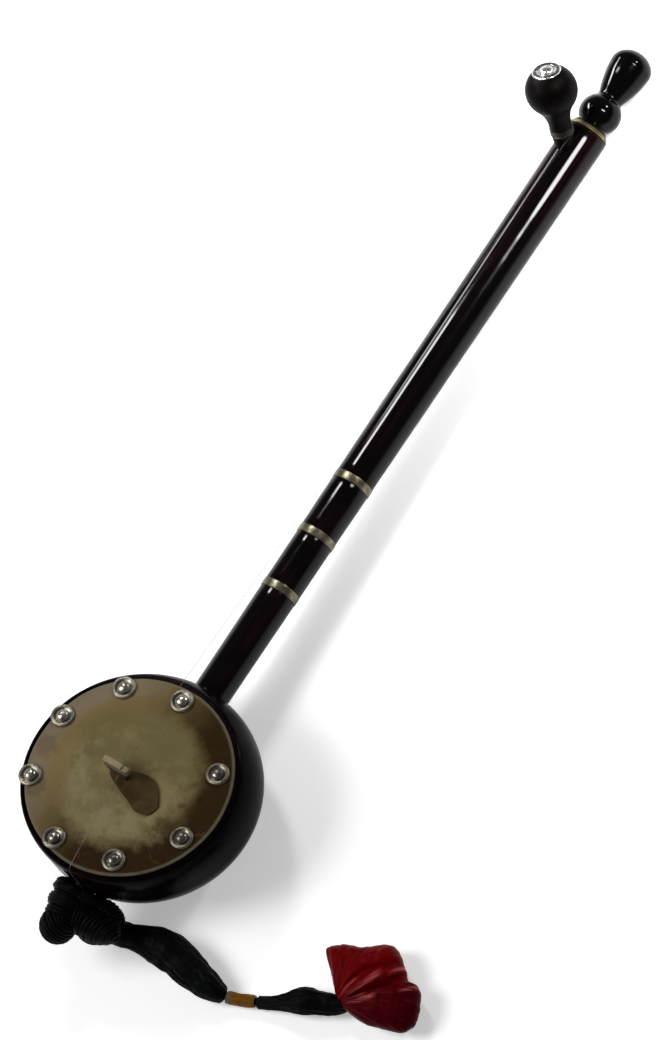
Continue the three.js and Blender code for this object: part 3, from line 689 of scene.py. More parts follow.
@dataclass(frozen=True)
class Hide:
    """Scraped hide: mottled olive tan, golden towards the rim, with amber stains from glue and hands.

    Each entry of stains has its place, its size and its depth. Places and sizes are in metres. Besides the
    stains, painted shade darkens the rim towards dark_side, and a painted pale glare lightens it on the
    other side.
    """

    name: str = "hide"
    middle: Point = (0, -0.0035, 0)
    tan: Color = (0.206, 0.160, 0.073)
    green: Color = (0.142, 0.119, 0.048)
    pale: Color = (0.236, 0.202, 0.104)
    gold: Color = (0.204, 0.142, 0.056)
    # stain_and_shade colours the stains and also the painted shade on the rim
    stain_and_shade: Color = (0.018, 0.0070, 0.0012)
    edge: Color = (0.150, 0.140, 0.095)
    # painted_glare is the colour of a painted pale glare near the rim
    painted_glare: Color = (0.215, 0.168, 0.115)
    dark_side: tuple[float, float] = (0.966, -0.259)
    stains: tuple[tuple[float, float, float, float], ...] = (
        (0.064, 0.002, 0.028, 0.95), (0.060, 0.024, 0.026, 0.92), (0.050, 0.042, 0.025, 0.85),
        (0.026, 0.062, 0.014, 0.5), (0.050, -0.020, 0.021, 0.8), (0.036, -0.046, 0.018, 0.6),
        (0.010, -0.057, 0.015, 0.5), (-0.014, -0.058, 0.013, 0.4), (-0.030, -0.048, 0.012, 0.45),
        (-0.052, -0.034, 0.013, 0.35), (-0.004, 0.062, 0.010, 0.25), (-0.062, -0.006, 0.010, 0.25),
    )

    def build(self) -> bpy.types.Material:
        """Builds the nodes.

        Returns:
            The material.
        """
        s = Sketch(self.name)
        spot = s.coords(offset=self.middle)
        x, y, _ = s.split(spot)
        radius = s.length(x, y)
        patches = s.noise(34, 5, 0.6, 0.4, spot)
        cloud = s.noise(95, 7, 0.68, at=s.coords(offset=(0.3, 0.1, 0)))
        fibre = s.noise(900, 6, 0.7, 0.5, s.coords((1, 0.35, 1)))
        base = s.mix((y * -2.0 + patches).between(0.36, 0.62), self.green, self.tan)
        base = s.mix((y * -4.0 + cloud).between(0.46, 0.72) * 0.9, base, self.pale)
        reach = radius + (patches.around(0.03) + cloud.around(0.012))
        base = s.mix(reach.between(0.036, 0.056) * 0.75, base, self.gold)
        # Painted shade: the rim darkens towards dark_side, the side away from the lamps; the stains below
        # add to it
        aside = x * self.dark_side[0] + y * self.dark_side[1] + cloud.around(0.016)
        dark = reach.between(0.039, 0.054) * aside.between(-0.050, 0.020) * 0.95
        for stain_x, stain_y, size, depth in self.stains:
            far = s.length(x - stain_x, y - stain_y) + cloud.around(0.024)
            dark = dark.larger(far.between(size * 1.12, size * 0.3) * depth)
        # Painted glare: a pale haze near the rim on the side towards the lamps
        painted_glare = radius.between(0.052, 0.062) * aside.between(-0.010, -0.045)
        base = s.mix(dark, s.mix(painted_glare * 0.75, base, self.painted_glare), self.stain_and_shade)
        base = s.mix(s.noise(150, 8, 0.75, 1.2).between(0.58, 0.7) * 0.3, base, self.gold)
        rim = radius.between(0.0672, 0.0686) * cloud.ranged(0.2, 1.0)
        base = s.mix(fibre.ranged(0.0, 0.3), s.mix(rim, base, self.edge), self.stain_and_shade, Blend.MULTIPLY)
        normal = s.bump(patches, 0.0006, 0.5, s.bump(fibre, 0.00006, 0.6))
        return s.finish(base, cloud.ranged(0.45, 0.7), normal, specular_ior_level=0.03)


@dataclass(frozen=True)
class Metal:
    """Plated metal with fine scratches and handling marks.

    groove holds dirt and painted shade, and the outline up to dull_below is tarnished, both as shares of
    the outline. Away from lit_side, a direction in plan, the colour is multiplied by worn: painted shade.
    """

    name: str
    bright: Color
    cast: Color
    smooth: float
    dents: float = 0.0
    groove: tuple[float, float] | None = None
    groove_dirt_and_shade: Color = (0.03, 0.026, 0.02)
    dull_below: float | None = None
    lit_side: tuple[float, float] | None = None
    # worn is the factor of the painted shade away from lit_side
    worn: Color = (0.46, 0.46, 0.46)

    def build(self) -> bpy.types.Material:
        """Builds the nodes.

        Returns:
            The material.
        """
        s = Sketch(self.name)
        cloud = s.noise(160)
        color = s.mix(cloud.between(0.35, 0.7), self.bright, self.cast)
        # Painted shade: the colour darkens away from lit_side
        if self.lit_side:
            x, y, _ = s.split(s.coords())
            side = x * self.lit_side[0] + y * self.lit_side[1]
            color = s.mix(side.between(0.055, -0.045), color, self.worn, Blend.MULTIPLY)
        scratch = s.noise(1400, 3, 0.7, at=s.coords((1, 6, 1)))
        roughness = (cloud * scratch).ranged(self.smooth, self.smooth + 0.35)
        _, v, _ = s.split(s.uv())
        # Dirt and painted shade darken the groove
        if self.groove:
            low, high = self.groove
            inside = v.between(low - 0.012, low + 0.012) * v.between(high + 0.012, high - 0.012)
            color = s.mix(inside * cloud.ranged(0.55, 1.0), color, self.groove_dirt_and_shade)
        if self.dull_below:
            tarnish = v.between(self.dull_below + 0.01, self.dull_below - 0.01) * cloud.ranged(0.4, 1.1)
            color = s.mix(tarnish, color, self.cast)
            roughness = roughness + tarnish * 0.15
        normal = s.bump(scratch, 0.000004, 0.5)
        if self.dents:
            normal = s.bump(s.noise(420, 2), self.dents, 1, normal)
        return s.finish(color, roughness, normal, metallic=1.0)


@dataclass(frozen=True)
class PlainWood:
    """Bare or oiled wood with open grain."""

    name: str
    light: Color
    dark: Color

    def build(self) -> bpy.types.Material:
        """Builds the nodes.

        Returns:
            The material.
        """
        s = Sketch(self.name)
        grain = s.noise(1, 8, 0.65, 0.5, s.coords((90, 900, 900)))
        color = s.mix(grain.between(0.35, 0.68), self.dark, self.light)
        return s.finish(color, s.noise(260).ranged(0.4, 0.65), s.bump(grain, 0.00008, 0.7))


@dataclass(frozen=True)
class Bone:
    """Pale bone with fine dark pores along its length."""

    name: str = "saddle_bone"
    pale: Color = (0.235, 0.178, 0.088)
    aged: Color = (0.15, 0.108, 0.048)
    pore: Color = (0.09, 0.06, 0.03)

    def build(self) -> bpy.types.Material:
        """Builds the nodes.

        Returns:
            The material.
        """
        s = Sketch(self.name)
        pores = s.noise(1, 4, 0.6, at=s.coords((260, 2600, 2600))).between(0.58, 0.7)
        cloud = s.noise(190)
        color = s.mix(pores * 0.6, s.mix(cloud.between(0.35, 0.7), self.pale, self.aged), self.pore)
        return s.finish(color, cloud.ranged(0.32, 0.5), s.bump(pores, -0.00003, 0.7))


@dataclass(frozen=True)
class ShadowLeafLeather:
    """Worn brown leather, darker where it is creased. It colours the leaf that stands for the bridge's
    painted shadow.
    """

    name: str = "pad_leather"
    brown: Color = (0.044, 0.025, 0.0075)
    worn: Color = (0.062, 0.040, 0.014)
    dark: Color = (0.018, 0.010, 0.003)

    def build(self) -> bpy.types.Material:
        """Builds the nodes.

        Returns:
            The material.
        """
        s = Sketch(self.name)
        cell = s.add("TexVoronoi", {"feature": "DISTANCE_TO_EDGE"}, Vector=s.coords(), Scale=1500)
        crease = Value(s, cell.outputs["Distance"]).between(0.0, 0.12)
        cloud = s.noise(120, 5, 0.6, 0.5)
        color = s.mix(cloud.between(0.4, 0.65), self.brown, self.worn)
        color = s.mix(s.noise(60, at=s.coords(offset=(0.2, 0, 0))).between(0.52, 0.7), color, self.dark)
        color = s.mix(crease.ranged(0.35, 0.0), color, self.dark)
        normal = s.bump(crease, 0.00007, 0.8)
        return s.finish(color, cloud.ranged(0.5, 0.75), normal, specular_ior_level=0.08)


@dataclass(frozen=True)
class Silk:
    """Floss silk: fine parallel threads, glossy across them, by the UVs or else by thread_coords."""

    name: str
    deep: Color
    bright: Color
    # sheen_tint is the colour of a painted sheen
    sheen_tint: Color
    by_uv: bool = False
    threads: float = 90
    thread_coords: Point = (120, 1500, 120)
    shine: float = 0.36
    specular: float = 0.04
    relief: float = 0.00022

    def build(self) -> bpy.types.Material:
        """Builds the nodes.

        Returns:
            The material.
        """
        s = Sketch(self.name)
        if self.by_uv:
            fine = s.noise(1, 3, 0.6, 0.15, s.uv((self.threads, 35, 1)))
            broad = s.noise(1, 3, 0.55, 0.3, s.uv((self.threads / 7, 14, 1)))
        else:
            fine = s.noise(1, 3, 0.6, 0.3, s.coords(self.thread_coords))
            broad = s.noise(1, 3, 0.55, 0.6, s.coords(tuple(v / 6 for v in self.thread_coords)))
        cloud = s.noise(45, 4, 0.6)
        color = s.mix(fine.between(0.32, 0.68), self.deep, self.bright)
        color = s.mix(broad.between(0.6, 0.35) * 0.55, color, self.deep)
        # Painted sheen: cloudy patches take sheen_tint
        color = s.mix(cloud.between(0.55, 0.7) * 0.8, color, self.sheen_tint)
        normal = s.bump(fine, self.relief, 0.8, s.bump(broad, self.relief * 2.5, 0.7))
        roughness = cloud.ranged(self.shine, self.shine + 0.18)
        return s.finish(color, roughness, normal, specular_ior_level=self.specular)


@dataclass(frozen=True)
class TuftSilk:
    """Red floss gathered at a neck: scarlet on one lobe, crimson on the other, with painted pale highlights
    near the neck and in streaks.

    The UVs hold the angle and the distance from the neck. Each painted highlight streak has its angle at
    its near and far end, the distances of both ends in metres, and its width as an angle.
    """

    name: str = "red_silk"
    scarlet: Color = (0.118, 0.0006, 0.0010)
    crimson: Color = (0.046, 0.0004, 0.0022)
    shade: Color = (0.028, 0.0002, 0.0009)
    glint: Color = (0.9, 0.08, 0.16)
    # painted_highlight is the colour of the painted highlights
    painted_highlight: Color = (0.42, 0.075, 0.080)
    lobe_turn: tuple[float, float] = (0.085, 0.15)
    highlight_reach: float = 0.016
    highlight_streaks: tuple[tuple[float, float, float, float, float], ...] = (
        (0.84, 0.98, 0.010, 0.034, 0.10), (0.24, 0.52, 0.008, 0.028, 0.11),
        (0.89, 0.96, 0.040, 0.052, 0.045), (0.57, 0.64, 0.046, 0.057, 0.040),
        (1.32, 1.22, 0.004, 0.018, 0.11), (0.55, 0.66, 0.006, 0.020, 0.07),
    )

    def build(self) -> bpy.types.Material:
        """Builds the nodes.

        Returns:
            The material.
        """
        s = Sketch(self.name)
        turn, far, _ = s.split(s.uv())
        fine = s.noise(1, 3, 0.6, 0.15, s.uv((330, 45, 1)))
        broad = s.noise(1, 3, 0.55, 0.3, s.uv((46, 30, 1)))
        cloud = s.noise(70, 4, 0.6)
        color = s.mix((turn + cloud.around(0.06)).between(*self.lobe_turn), self.crimson, self.scarlet)
        color = s.mix(fine.between(0.52, 0.3) * 0.3, color, self.shade)
        color = s.mix(broad.between(0.5, 0.3) * 0.35, color, self.shade)
        # Painted highlight: pale near the neck and in cloudy tips
        near = far.between(self.highlight_reach, self.highlight_reach * 0.3)
        tips = near.larger(cloud.between(0.62, 0.75) * 0.5)
        color = s.mix(fine.between(0.56, 0.7) * broad.between(0.45, 0.62) * tips, color, self.painted_highlight)
        # Painted highlight: pale streaks along the creases
        for first, last, low, high, width in self.highlight_streaks:
            centre = (far - low) * ((last - first) / (high - low)) + first
            away = s.math("ABSOLUTE", turn * FULL_TURN - centre)
            band = away.between(width, width * 0.2) * far.between(low - 0.003, low + 0.004)
            band = band * far.between(high + 0.004, high - 0.003)
            color = s.mix(band * fine.between(0.4, 0.58).ranged(0.15, 0.95), color, self.painted_highlight)
        normal = s.bump(fine, 0.0001, 0.6, s.bump(broad, 0.00025, 0.5))
        shine = {"specular_ior_level": 0.06, "specular_tint": (*self.glint, 1)}
        return s.finish(color, cloud.ranged(0.3, 0.46), normal, **shine)


@dataclass(frozen=True)
class GoldThread:
    """Gold thread that fades to a bare whitish core at one end, up to bare_until in metres."""

    name: str = "gold_thread"
    gold: Color = (0.20, 0.105, 0.012)
    orange: Color = (0.22, 0.070, 0.004)
    bare: Color = (0.125, 0.120, 0.070)
    shade: Color = (0.2, 0.09, 0.015)
    glint: Color = (1.0, 0.7, 0.3)
    bare_until: float = 0.1145
    fade: float = 0.0016

    def build(self) -> bpy.types.Material:
        """Builds the nodes.

        Returns:
            The material.
        """
        s = Sketch(self.name)
        x, _, _ = s.split(s.coords())
        cloud = s.noise(300)
        twist = s.noise(1, 3, at=s.coords((2500, 900, 2500)))
        bare = (x + cloud.around(0.004)).between(self.bare_until + self.fade, self.bare_until - self.fade)
        color = s.mix(bare, s.mix(cloud.between(0.4, 0.62), self.gold, self.orange), self.bare)
        color = s.mix(twist.ranged(0, 0.5), color, self.shade, Blend.MULTIPLY)
        shine = {"specular_ior_level": 0.2, "specular_tint": (*self.glint, 1)}
        return s.finish(color, 0.42, s.bump(twist, 0.0001), **shine)


SILK_DEEP = (0.0006, 0.0007, 0.0008)
FINISHES = {
    "lacquered_wood": [
        Lacquer("neck_lacquer", (0.0011, 0.0006, 0.0007), (0.009, 0.0018, 0.0028), 0.05, 0.16),
        Lacquer(
            "bowl_lacquer", (0.0014, 0.0007, 0.0009), (0.011, 0.0024, 0.0042), 0.2, 0.02,
            Grain.UPRIGHT, 0.00008,
        ),
    ],
    "black_wood": [
        Lacquer("black_lacquer", (0.0009, 0.0007, 0.0007), (0.003, 0.0018, 0.0016), 0.05, 0.13),
        Lacquer("peg_lacquer", (0.0008, 0.0004, 0.0003), (0.0035, 0.0016, 0.0008), 0.4, 0.03),
    ],
    "hide": [Hide()],
    "tack_chrome": [
        Metal(
            "tack_chrome", (0.46, 0.43, 0.38), (0.16, 0.145, 0.105), 0.2, 0.0003, (0.72, 0.80),
            (0.09, 0.08, 0.06), dull_below=0.72, lit_side=(-1.0, 0.6),
        ),
        Metal("stud_chrome", (0.70, 0.69, 0.68), (0.34, 0.33, 0.32), 0.16, 0.0004, (0.66, 0.74)),
    ],
    "band_metal": [
        Metal("band_metal", (0.19, 0.175, 0.125), (0.085, 0.07, 0.034), 0.27, 0.0001),
        Metal("collar_brass", (0.24, 0.20, 0.11), (0.09, 0.07, 0.025), 0.28, 0.0001),
    ],
    "string_steel": [Metal("string_steel", (0.11, 0.10, 0.085), (0.06, 0.055, 0.045), 0.35)],
    "bridge_wood": [PlainWood("bridge_wood", (0.052, 0.032, 0.012), (0.020, 0.012, 0.005))],
    "saddle_bone": [Bone()],
    # pad_leather colours the leaf that stands for the bridge's painted shadow
    "pad_leather": [ShadowLeafLeather()],
    "black_silk": [
        Silk("black_silk", SILK_DEEP, (0.0026, 0.0028, 0.0032), (0.0030, 0.0072, 0.0062), by_uv=True),
        Silk("knot_silk", (0.0006, 0.0006, 0.0007), (0.0028, 0.0028, 0.0030), (0.0034, 0.0040, 0.0052)),
        Silk("strand_silk", SILK_DEEP, (0.0030, 0.0034, 0.0036), (0.0030, 0.0078, 0.0066)),
    ],
    "red_silk": [
        TuftSilk(),
        Silk(
            "red_strand", (0.060, 0.0005, 0.0018), (0.15, 0.0013, 0.0018), (0.20, 0.008, 0.009),
            thread_coords=(300, 300, 300), shine=0.32, specular=0.05,
        ),
    ],
    "gold_thread": [GoldThread()],
}


# Geometry nodes


class NodeGroup:
    """A geometry node group under construction, with its inputs kept by name."""

    def __init__(self, name: str, **inputs: str) -> None:
        """Starts the group.

        Args:
            name: the group's name.
            inputs: the kind of each further input, by its name.
        """
        self.group = bpy.data.node_groups.new(name, "GeometryNodeTree")
        sockets = self.group.interface.new_socket
        sockets("Geometry", in_out="OUTPUT", socket_type="NodeSocketGeometry")
        kinds = {"Geometry": "Geometry", **inputs, "material": "Material"}
        self.identifiers = {
            key: sockets(key, in_out="INPUT", socket_type=f"NodeSocket{kind}").identifier
            for key, kind in kinds.items()
        }
        source = {s.identifier: s for s in self.group.nodes.new("NodeGroupInput").outputs}
        self.inputs = {key: source[identifier] for key, identifier in self.identifiers.items()}

    def node(self, kind: str, output: str, **values: object) -> Socket:
        """Adds a geometry node.

        Args:
            kind: the node's type, without its prefix.
            output: the output that is wanted.
            values: its properties and inputs, by their names with underscores for spaces.

        Returns:
            That output.
        """
        node = self.group.nodes.new(f"GeometryNode{kind}")
        for key, value in values.items():
            if hasattr(node, key):
                setattr(node, key, value)
            elif isinstance(value, Socket):
                self.group.links.new(value, node.inputs[key.replace("_", " ")])
            else:
                node.inputs[key.replace("_", " ")].default_value = value
        return node.outputs[output]

    def end(self, flow: Socket) -> "NodeGroup":
        """Makes the result real and gives it the material.

        Args:
            flow: the geometry so far.

        Returns:
            The group itself.
        """
        real = self.node("RealizeInstances", "Geometry", Geometry=flow)
        paint = self.node("SetMaterial", "Geometry", Geometry=real, Material=self.inputs["material"])
        self.group.links.new(paint, self.group.nodes.new("NodeGroupOutput").inputs[0])
        return self

    def apply(self, item: Piece, **values: object) -> Piece:
        """Runs the group on an object, and puts a plain mesh of the result in its place.

        Args:
            item: the object, which is removed.
            values: the group's inputs, by name.

        Returns:
            The result.
        """
        name = item.name
        modifier = item.modifiers.new("nodes", "NODES")
        modifier.node_group = self.group
        for key, value in values.items():
            modifier[self.identifiers[key]] = value
        item.update_tag()
        graph = bpy.context.evaluated_depsgraph_get()
        mesh = bpy.data.meshes.new_from_object(item.evaluated_get(graph), depsgraph=graph)
        bpy.data.objects.remove(item)
        mesh.name = name
        return linked(name, mesh)


def scatter_group() -> NodeGroup:
    """Puts a copy of a piece on every point, turned and sized.

    Returns:
        The node group.
    """
    g = NodeGroup("scatter_pieces", piece="Object", turn="Vector")
    copy = g.node("ObjectInfo", "Geometry", Object=g.inputs["piece"])
    size = g.node("InputNamedAttribute", "Attribute", data_type="FLOAT_VECTOR", Name="size")
    start, turn = g.inputs["Geometry"], g.inputs["turn"]
    sized = {"Rotation": turn, "Scale": size}
    return g.end(g.node("InstanceOnPoints", "Instances", Points=start, Instance=copy, **sized))


def thread_group() -> NodeGroup:
    """Follows every line of edges with a round thread.

    Returns:
        The node group.
    """
    g = NodeGroup("follow_threads", radius="Float", sides="Int")
    curve = g.node("MeshToCurve", "Curve", Mesh=g.inputs["Geometry"])
    radius, sides = g.inputs["radius"], g.inputs["sides"]
    circle = g.node("CurvePrimitiveCircle", "Curve", Radius=radius, Resolution=sides)
    tube = g.node("CurveToMesh", "Mesh", Curve=curve, Profile_Curve=circle, Fill_Caps=True)
    return g.end(g.node("SetShadeSmooth", "Geometry", Geometry=tube))


class Body(Enum):
    """The bodies that pieces ride on."""

    INSTRUMENT = "instrument"
    PEG = "peg"


@dataclass
class Kit:
    """What every sub-assembly needs: the finishes, each with its slot, and the node groups."""

    scatter: NodeGroup = field(default_factory=scatter_group)
    threads: NodeGroup = field(default_factory=thread_group)

    def __post_init__(self) -> None:
        """Builds every finish once."""
        self.finishes = {
            recipe.name: (slot, recipe.build()) for slot, recipes in FINISHES.items() for recipe in recipes
        }

    def fit(self, item: Piece, finish: str, *nodes: str, body: Body = Body.INSTRUMENT) -> Piece:
        """Gives a piece its finish and its place in the frame.

        Args:
            item: the piece.
            finish: the name of its finish.
            nodes: the solids that it stands for.
            body: the body that it rides on.

        Returns:
            The same piece.
        """
        slot, material = self.finishes[finish]
        item.data.materials.clear()
        item.data.materials.append(material)
        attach(item, body.value)
        if nodes:
            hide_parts(*nodes)
        log.info("%s on %s, for %s", item.name, body.value, ", ".join(nodes) or "no solid")
        return item

    def copies(
        self, name: str, source: Piece, spots: list[np.ndarray], sizes: list[Point], turn: Point,
        finish: str,
    ) -> Piece:
        """Lays out copies of a source piece.

        Args:
            name: the new piece's name.
            source: the piece that is copied, and then removed.
            spots: the place of each copy, in metres.
            sizes: the size of each copy.
            turn: how all copies are turned.
            finish: the name of their finish.

        Returns:
            All copies as one piece.
        """
        points = lines_object(name, spots, sizes)
        item = self.scatter.apply(points, piece=source, turn=turn, material=self.finishes[finish][1])
        bpy.data.objects.remove(source)
        item.data.shade_smooth()
        return item

    def thread(
        self, name: str, lines: list[np.ndarray], finish: str, radius: float, sides: int,
        matrix: Matrix = Matrix.Identity(4),
    ) -> Piece:
        """Lays thread along lines.

        Args:
            name: the new piece's name.
            lines: the lines that it follows, in millimetres.
            finish: the name of its finish.
            radius: the thread's radius, in millimetres.
            sides: corners of its section.
            matrix: places the lines in the table's frame.

        Returns:
            All threads as one piece.
        """
        item = lines_object(name, [place(line, matrix) for line in lines])
        return self.threads.apply(item, radius=radius * MM, sides=sides, material=self.finishes[finish][1])


# Bowl, skin and tacks


@dataclass
class Bowl:
    """The turned and carved bowl."""

    kit: Kit
    rim_land: float = 18
    rim_land_depth: float = 12
    wall_fullness: float = 4
    wall_steps: int = 22

    def carve(self, points: np.ndarray) -> np.ndarray:
        """Moves the widest place off the rim's centre, as the carved bowl has it."""
        share = np.sin(math.pi / 2 * np.clip((SIZES.bowl_depth - points[:, 2]) / SIZES.belly_drop, 0, 1))
        return points + np.outer(share, (*SIZES.belly_shift, 0))

    def outline(self) -> Outline:
        """Draws the bowl's section.

        Returns:
            The section, from the back's middle outside to its middle inside.
        """
        rim, belly, top = SIZES.rim_radius, SIZES.belly_radius, SIZES.bowl_depth
        z, land = top - SIZES.belly_drop, rim - self.rim_land
        rows = arc(z, belly, z, -90, 0, 40)
        for rise in np.linspace(0.04, 0.965, self.wall_steps):
            rows.append((rim + (belly - rim) * (1 - rise**self.wall_fullness), z + SIZES.belly_drop * rise))
        rows += [(rim - 0.05, top - 0.45), (rim - 0.5, top - 0.06), (rim - 1.2, top)]
        rows += [(land, top), (land, top - self.rim_land_depth)]
        return rows + arc(z, belly - SIZES.bowl_wall, z - SIZES.bowl_wall, 0, -90, 14)

    def build(self) -> None:
        """Builds the bowl, with its planed flat on the table."""
        item = lathe("bowl_shell", self.outline(), LEANING, 192, shape=self.carve)
        for vertex in item.data.vertices:
            vertex.co.z = max(vertex.co.z, 0.0)
        self.kit.fit(item, "bowl_lacquer", "bowl")


@dataclass
class Skin:
    """The hide stretched over the rim, puckered a little at each tack."""

    kit: Kit
    rings: int = 64
    around: int = 288
    edge_wander: float = 0.25
    dimple: float = 0.22
    pleat: float = 0.09

    def height(self, x: np.ndarray, y: np.ndarray) -> np.ndarray:
        """Finds the relief of the hide's face.

        Args:
            x: places across the skin, in millimetres.
            y: places along it.

        Returns:
            The height of each place, in millimetres.
        """
        r, a = np.hypot(x, y), np.arctan2(y, x)
        relief = 0.10 * noise_1d(x / 31, 3) * noise_1d(y / 27, 4)
        relief += 0.05 * noise_1d(a * 3.2, 5) * np.clip(r / SIZES.skin_radius, 0, 1) ** 2
        for i, (tack_x, tack_y, angle) in enumerate(SIZES.tack_places()):
            far = np.hypot(x - tack_x, y - tack_y)
            toward = np.arctan2(y - tack_y, x - tack_x) - angle
            relief -= self.dimple * np.exp(-((far / 8.5) ** 4))
            relief += self.pleat * np.cos(toward * 9 + i) * np.exp(-(((far - 12) / 7) ** 2))
        return relief

    def build(self) -> None:
        """Builds the skin as a stretched sheet."""
        turns = FULL_TURN * np.arange(self.around) / self.around
        wander = noise_1d(turns * 4 / math.pi, 8) * np.sin(turns / 2)
        edge = SIZES.skin_radius - self.edge_wander + self.edge_wander * wander
        rings = [np.array([[0.0, 0.0, SIZES.skin_face]])]
        for share in np.linspace(0, 1, self.rings + 1)[1:] ** 0.85:
            x, y = edge * share * np.cos(turns), edge * share * np.sin(turns)
            fall = 0.45 * max(0.0, (share - 0.988) / 0.012) ** 2
            rings.append(np.stack([x, y, SIZES.skin_face + self.height(x, y) - fall], 1))
        rings.append(np.stack([x, y, np.full(self.around, SIZES.skin_base)], 1))
        rings.append(np.array([[0.0, 0.0, SIZES.skin_base]]))
        item = loft("skin_hide", [place(ring, LEANING) for ring in rings])
        self.kit.fit(item, "hide", "skin")


def tack_outline(radius: float, height: float, boss: float, pin: float) -> Outline:
    """Section of a tack's head: a rolled flange, a groove and a boss, over its pin.

    Args:
        radius: the head's radius.
        height: the head's height.
        boss: the boss's share of the radius.
        pin: the pin's length.

    Returns:
        The section, from the pin's tip to the boss's top.
    """
    shares = [
        (0.95, 0), (0.985, 0.04), (1, 0.14), (0.985, 0.27), (0.93, 0.39), (0.86, 0.45), (0.79, 0.46),
        (0.72, 0.44), (0.66, 0.37), (boss + 0.045, 0.27), (boss + 0.012, 0.27),
    ]
    dome = arc(height * 0.3, radius * boss, height * 0.7, 4, 90, 14)
    head = [(radius * r, height * h) for r, h in shares]
    return [(0.0, -pin), (0.9, 0.8 - pin), (0.9, 0), *head, *dome[:-1], (0.0, height)]


@dataclass
class Tacks:
    """The ring-and-boss tacks round the rim."""

    kit: Kit
    radius: float = 8
    height: float = 3.6
    boss: float = 0.52
    pin: float = 9.5
    lift: float = 0.1

    def build(self) -> None:
        """Builds all the tacks as one piece."""
        outline = tack_outline(self.radius, self.height, self.boss, self.pin)
        source = lathe("tack_source", outline, Matrix.Identity(4), 56)
        face = SIZES.skin_face + self.lift
        spots = [place(np.array([(x, y, face)]), LEANING) for x, y, _ in SIZES.tack_places()]
        sizes = [(1, 1, 1)] * len(spots)
        item = self.kit.copies("rim_tacks", source, spots, sizes, (-SIZES.lean, 0.0, 0.0), "tack_chrome")
        self.kit.fit(item, "tack_chrome", *(f"tack_{i + 1}" for i in range(len(spots))))


# Neck, head and peg


@dataclass
class Neck:
    """The stick that runs through the bowl, and the bands let into it."""

    kit: Kit
    tail_radius: float = 8.5
    tail_end: float = -97
    noose_y: float = -76.4
    shoulder: tuple[float, float] = (-12, 12)
    band_places: tuple[float, ...] = (165.4, 208.8, 252.2)
    band_width: float = 5.4
    band_proud: float = 0.28
    longest_step: float = 6

    def outline(self) -> Outline:
        """Draws the neck's section.

        Returns:
            The section, from tail to head.
        """
        tail, start, noose = self.tail_radius, self.tail_end, self.noose_y
        rows = [(0, start), (tail - 0.9, start), (tail - 0.25, start + 0.25), (tail, start + 0.9)]
        rows += [(tail, noose - 1.7), (tail - 0.8, noose - 0.9)]
        rows += [(tail - 0.8, noose + 0.9), (tail, noose + 1.7)]
        rows += [(tail, self.shoulder[0]), (SIZES.neck_radius(self.shoulder[1]), self.shoulder[1])]
        for spot in self.band_places:
            for edge in (-1, 1):
                y = spot + edge * (self.band_width / 2 + 0.15)
                r = SIZES.neck_radius(y)
                rows += [(r, y + edge * 0.5), (r - 0.12, y + edge * 0.06), (r - 0.9, y)][:: -edge]
        end, r = SIZES.neck_end, SIZES.neck_head_radius
        rows += [(r, end - 1.1), (r - 0.08, end - 0.6), (r - 0.35, end - 0.22)]
        return rows + [(r - 0.9, end), (0, end)]

    def finer(self, rows: Outline) -> Outline:
        """Splits the long straight stretches, so that the neck can waver a little.

        Args:
            rows: the section.

        Returns:
            The same section with more points.
        """
        result = [rows[0]]
        for a, b in zip(rows, rows[1:]):
            parts = max(1, int(abs(b[1] - a[1]) / self.longest_step)) if b[0] > 0 and a[0] > 0 else 1
            for i in range(1, parts + 1):
                result.append((a[0] + (b[0] - a[0]) * i / parts, a[1] + (b[1] - a[1]) * i / parts))
        return result

    def waver(self, points: np.ndarray) -> np.ndarray:
        """Swells and thins the stick by hairs, as hand turning does."""
        swell = 1 + 0.0035 * noise_1d(points[:, 2] / 40, 11) + 0.002 * noise_1d(points[:, 2] / 13, 12)
        return points * np.stack([swell, swell, np.ones_like(swell)], 1)

    def build(self) -> None:
        """Builds the stick and its bands."""
        stick = lathe("neck_stick", self.finer(self.outline()), ALONG_NECK, shape=self.waver)
        self.kit.fit(stick, "neck_lacquer", "neck")
        low = -self.band_width / 2
        side = [(0.955, low), (0.993, low), (0.9985, low + 0.12), (1.0, low + 0.4), (1.0025, low + 1.2)]
        section = [*side, (1.0035, 0), *((r, -h) for r, h in side[::-1])]
        source = lathe("band_source", section, Matrix.Identity(4), closed=True)
        spots = [place(np.array([[0, 0, spot]]), ALONG_NECK) for spot in self.band_places]
        radii = [SIZES.neck_radius(spot) + self.band_proud for spot in self.band_places]
        sizes = [(r, r, 1) for r in radii]
        turn = tuple(ALONG_NECK.to_euler())
        bands = self.kit.copies("neck_bands", source, spots, sizes, turn, "band_metal")
        self.kit.fit(bands, "band_metal", "band_low", "band_middle", "band_high")


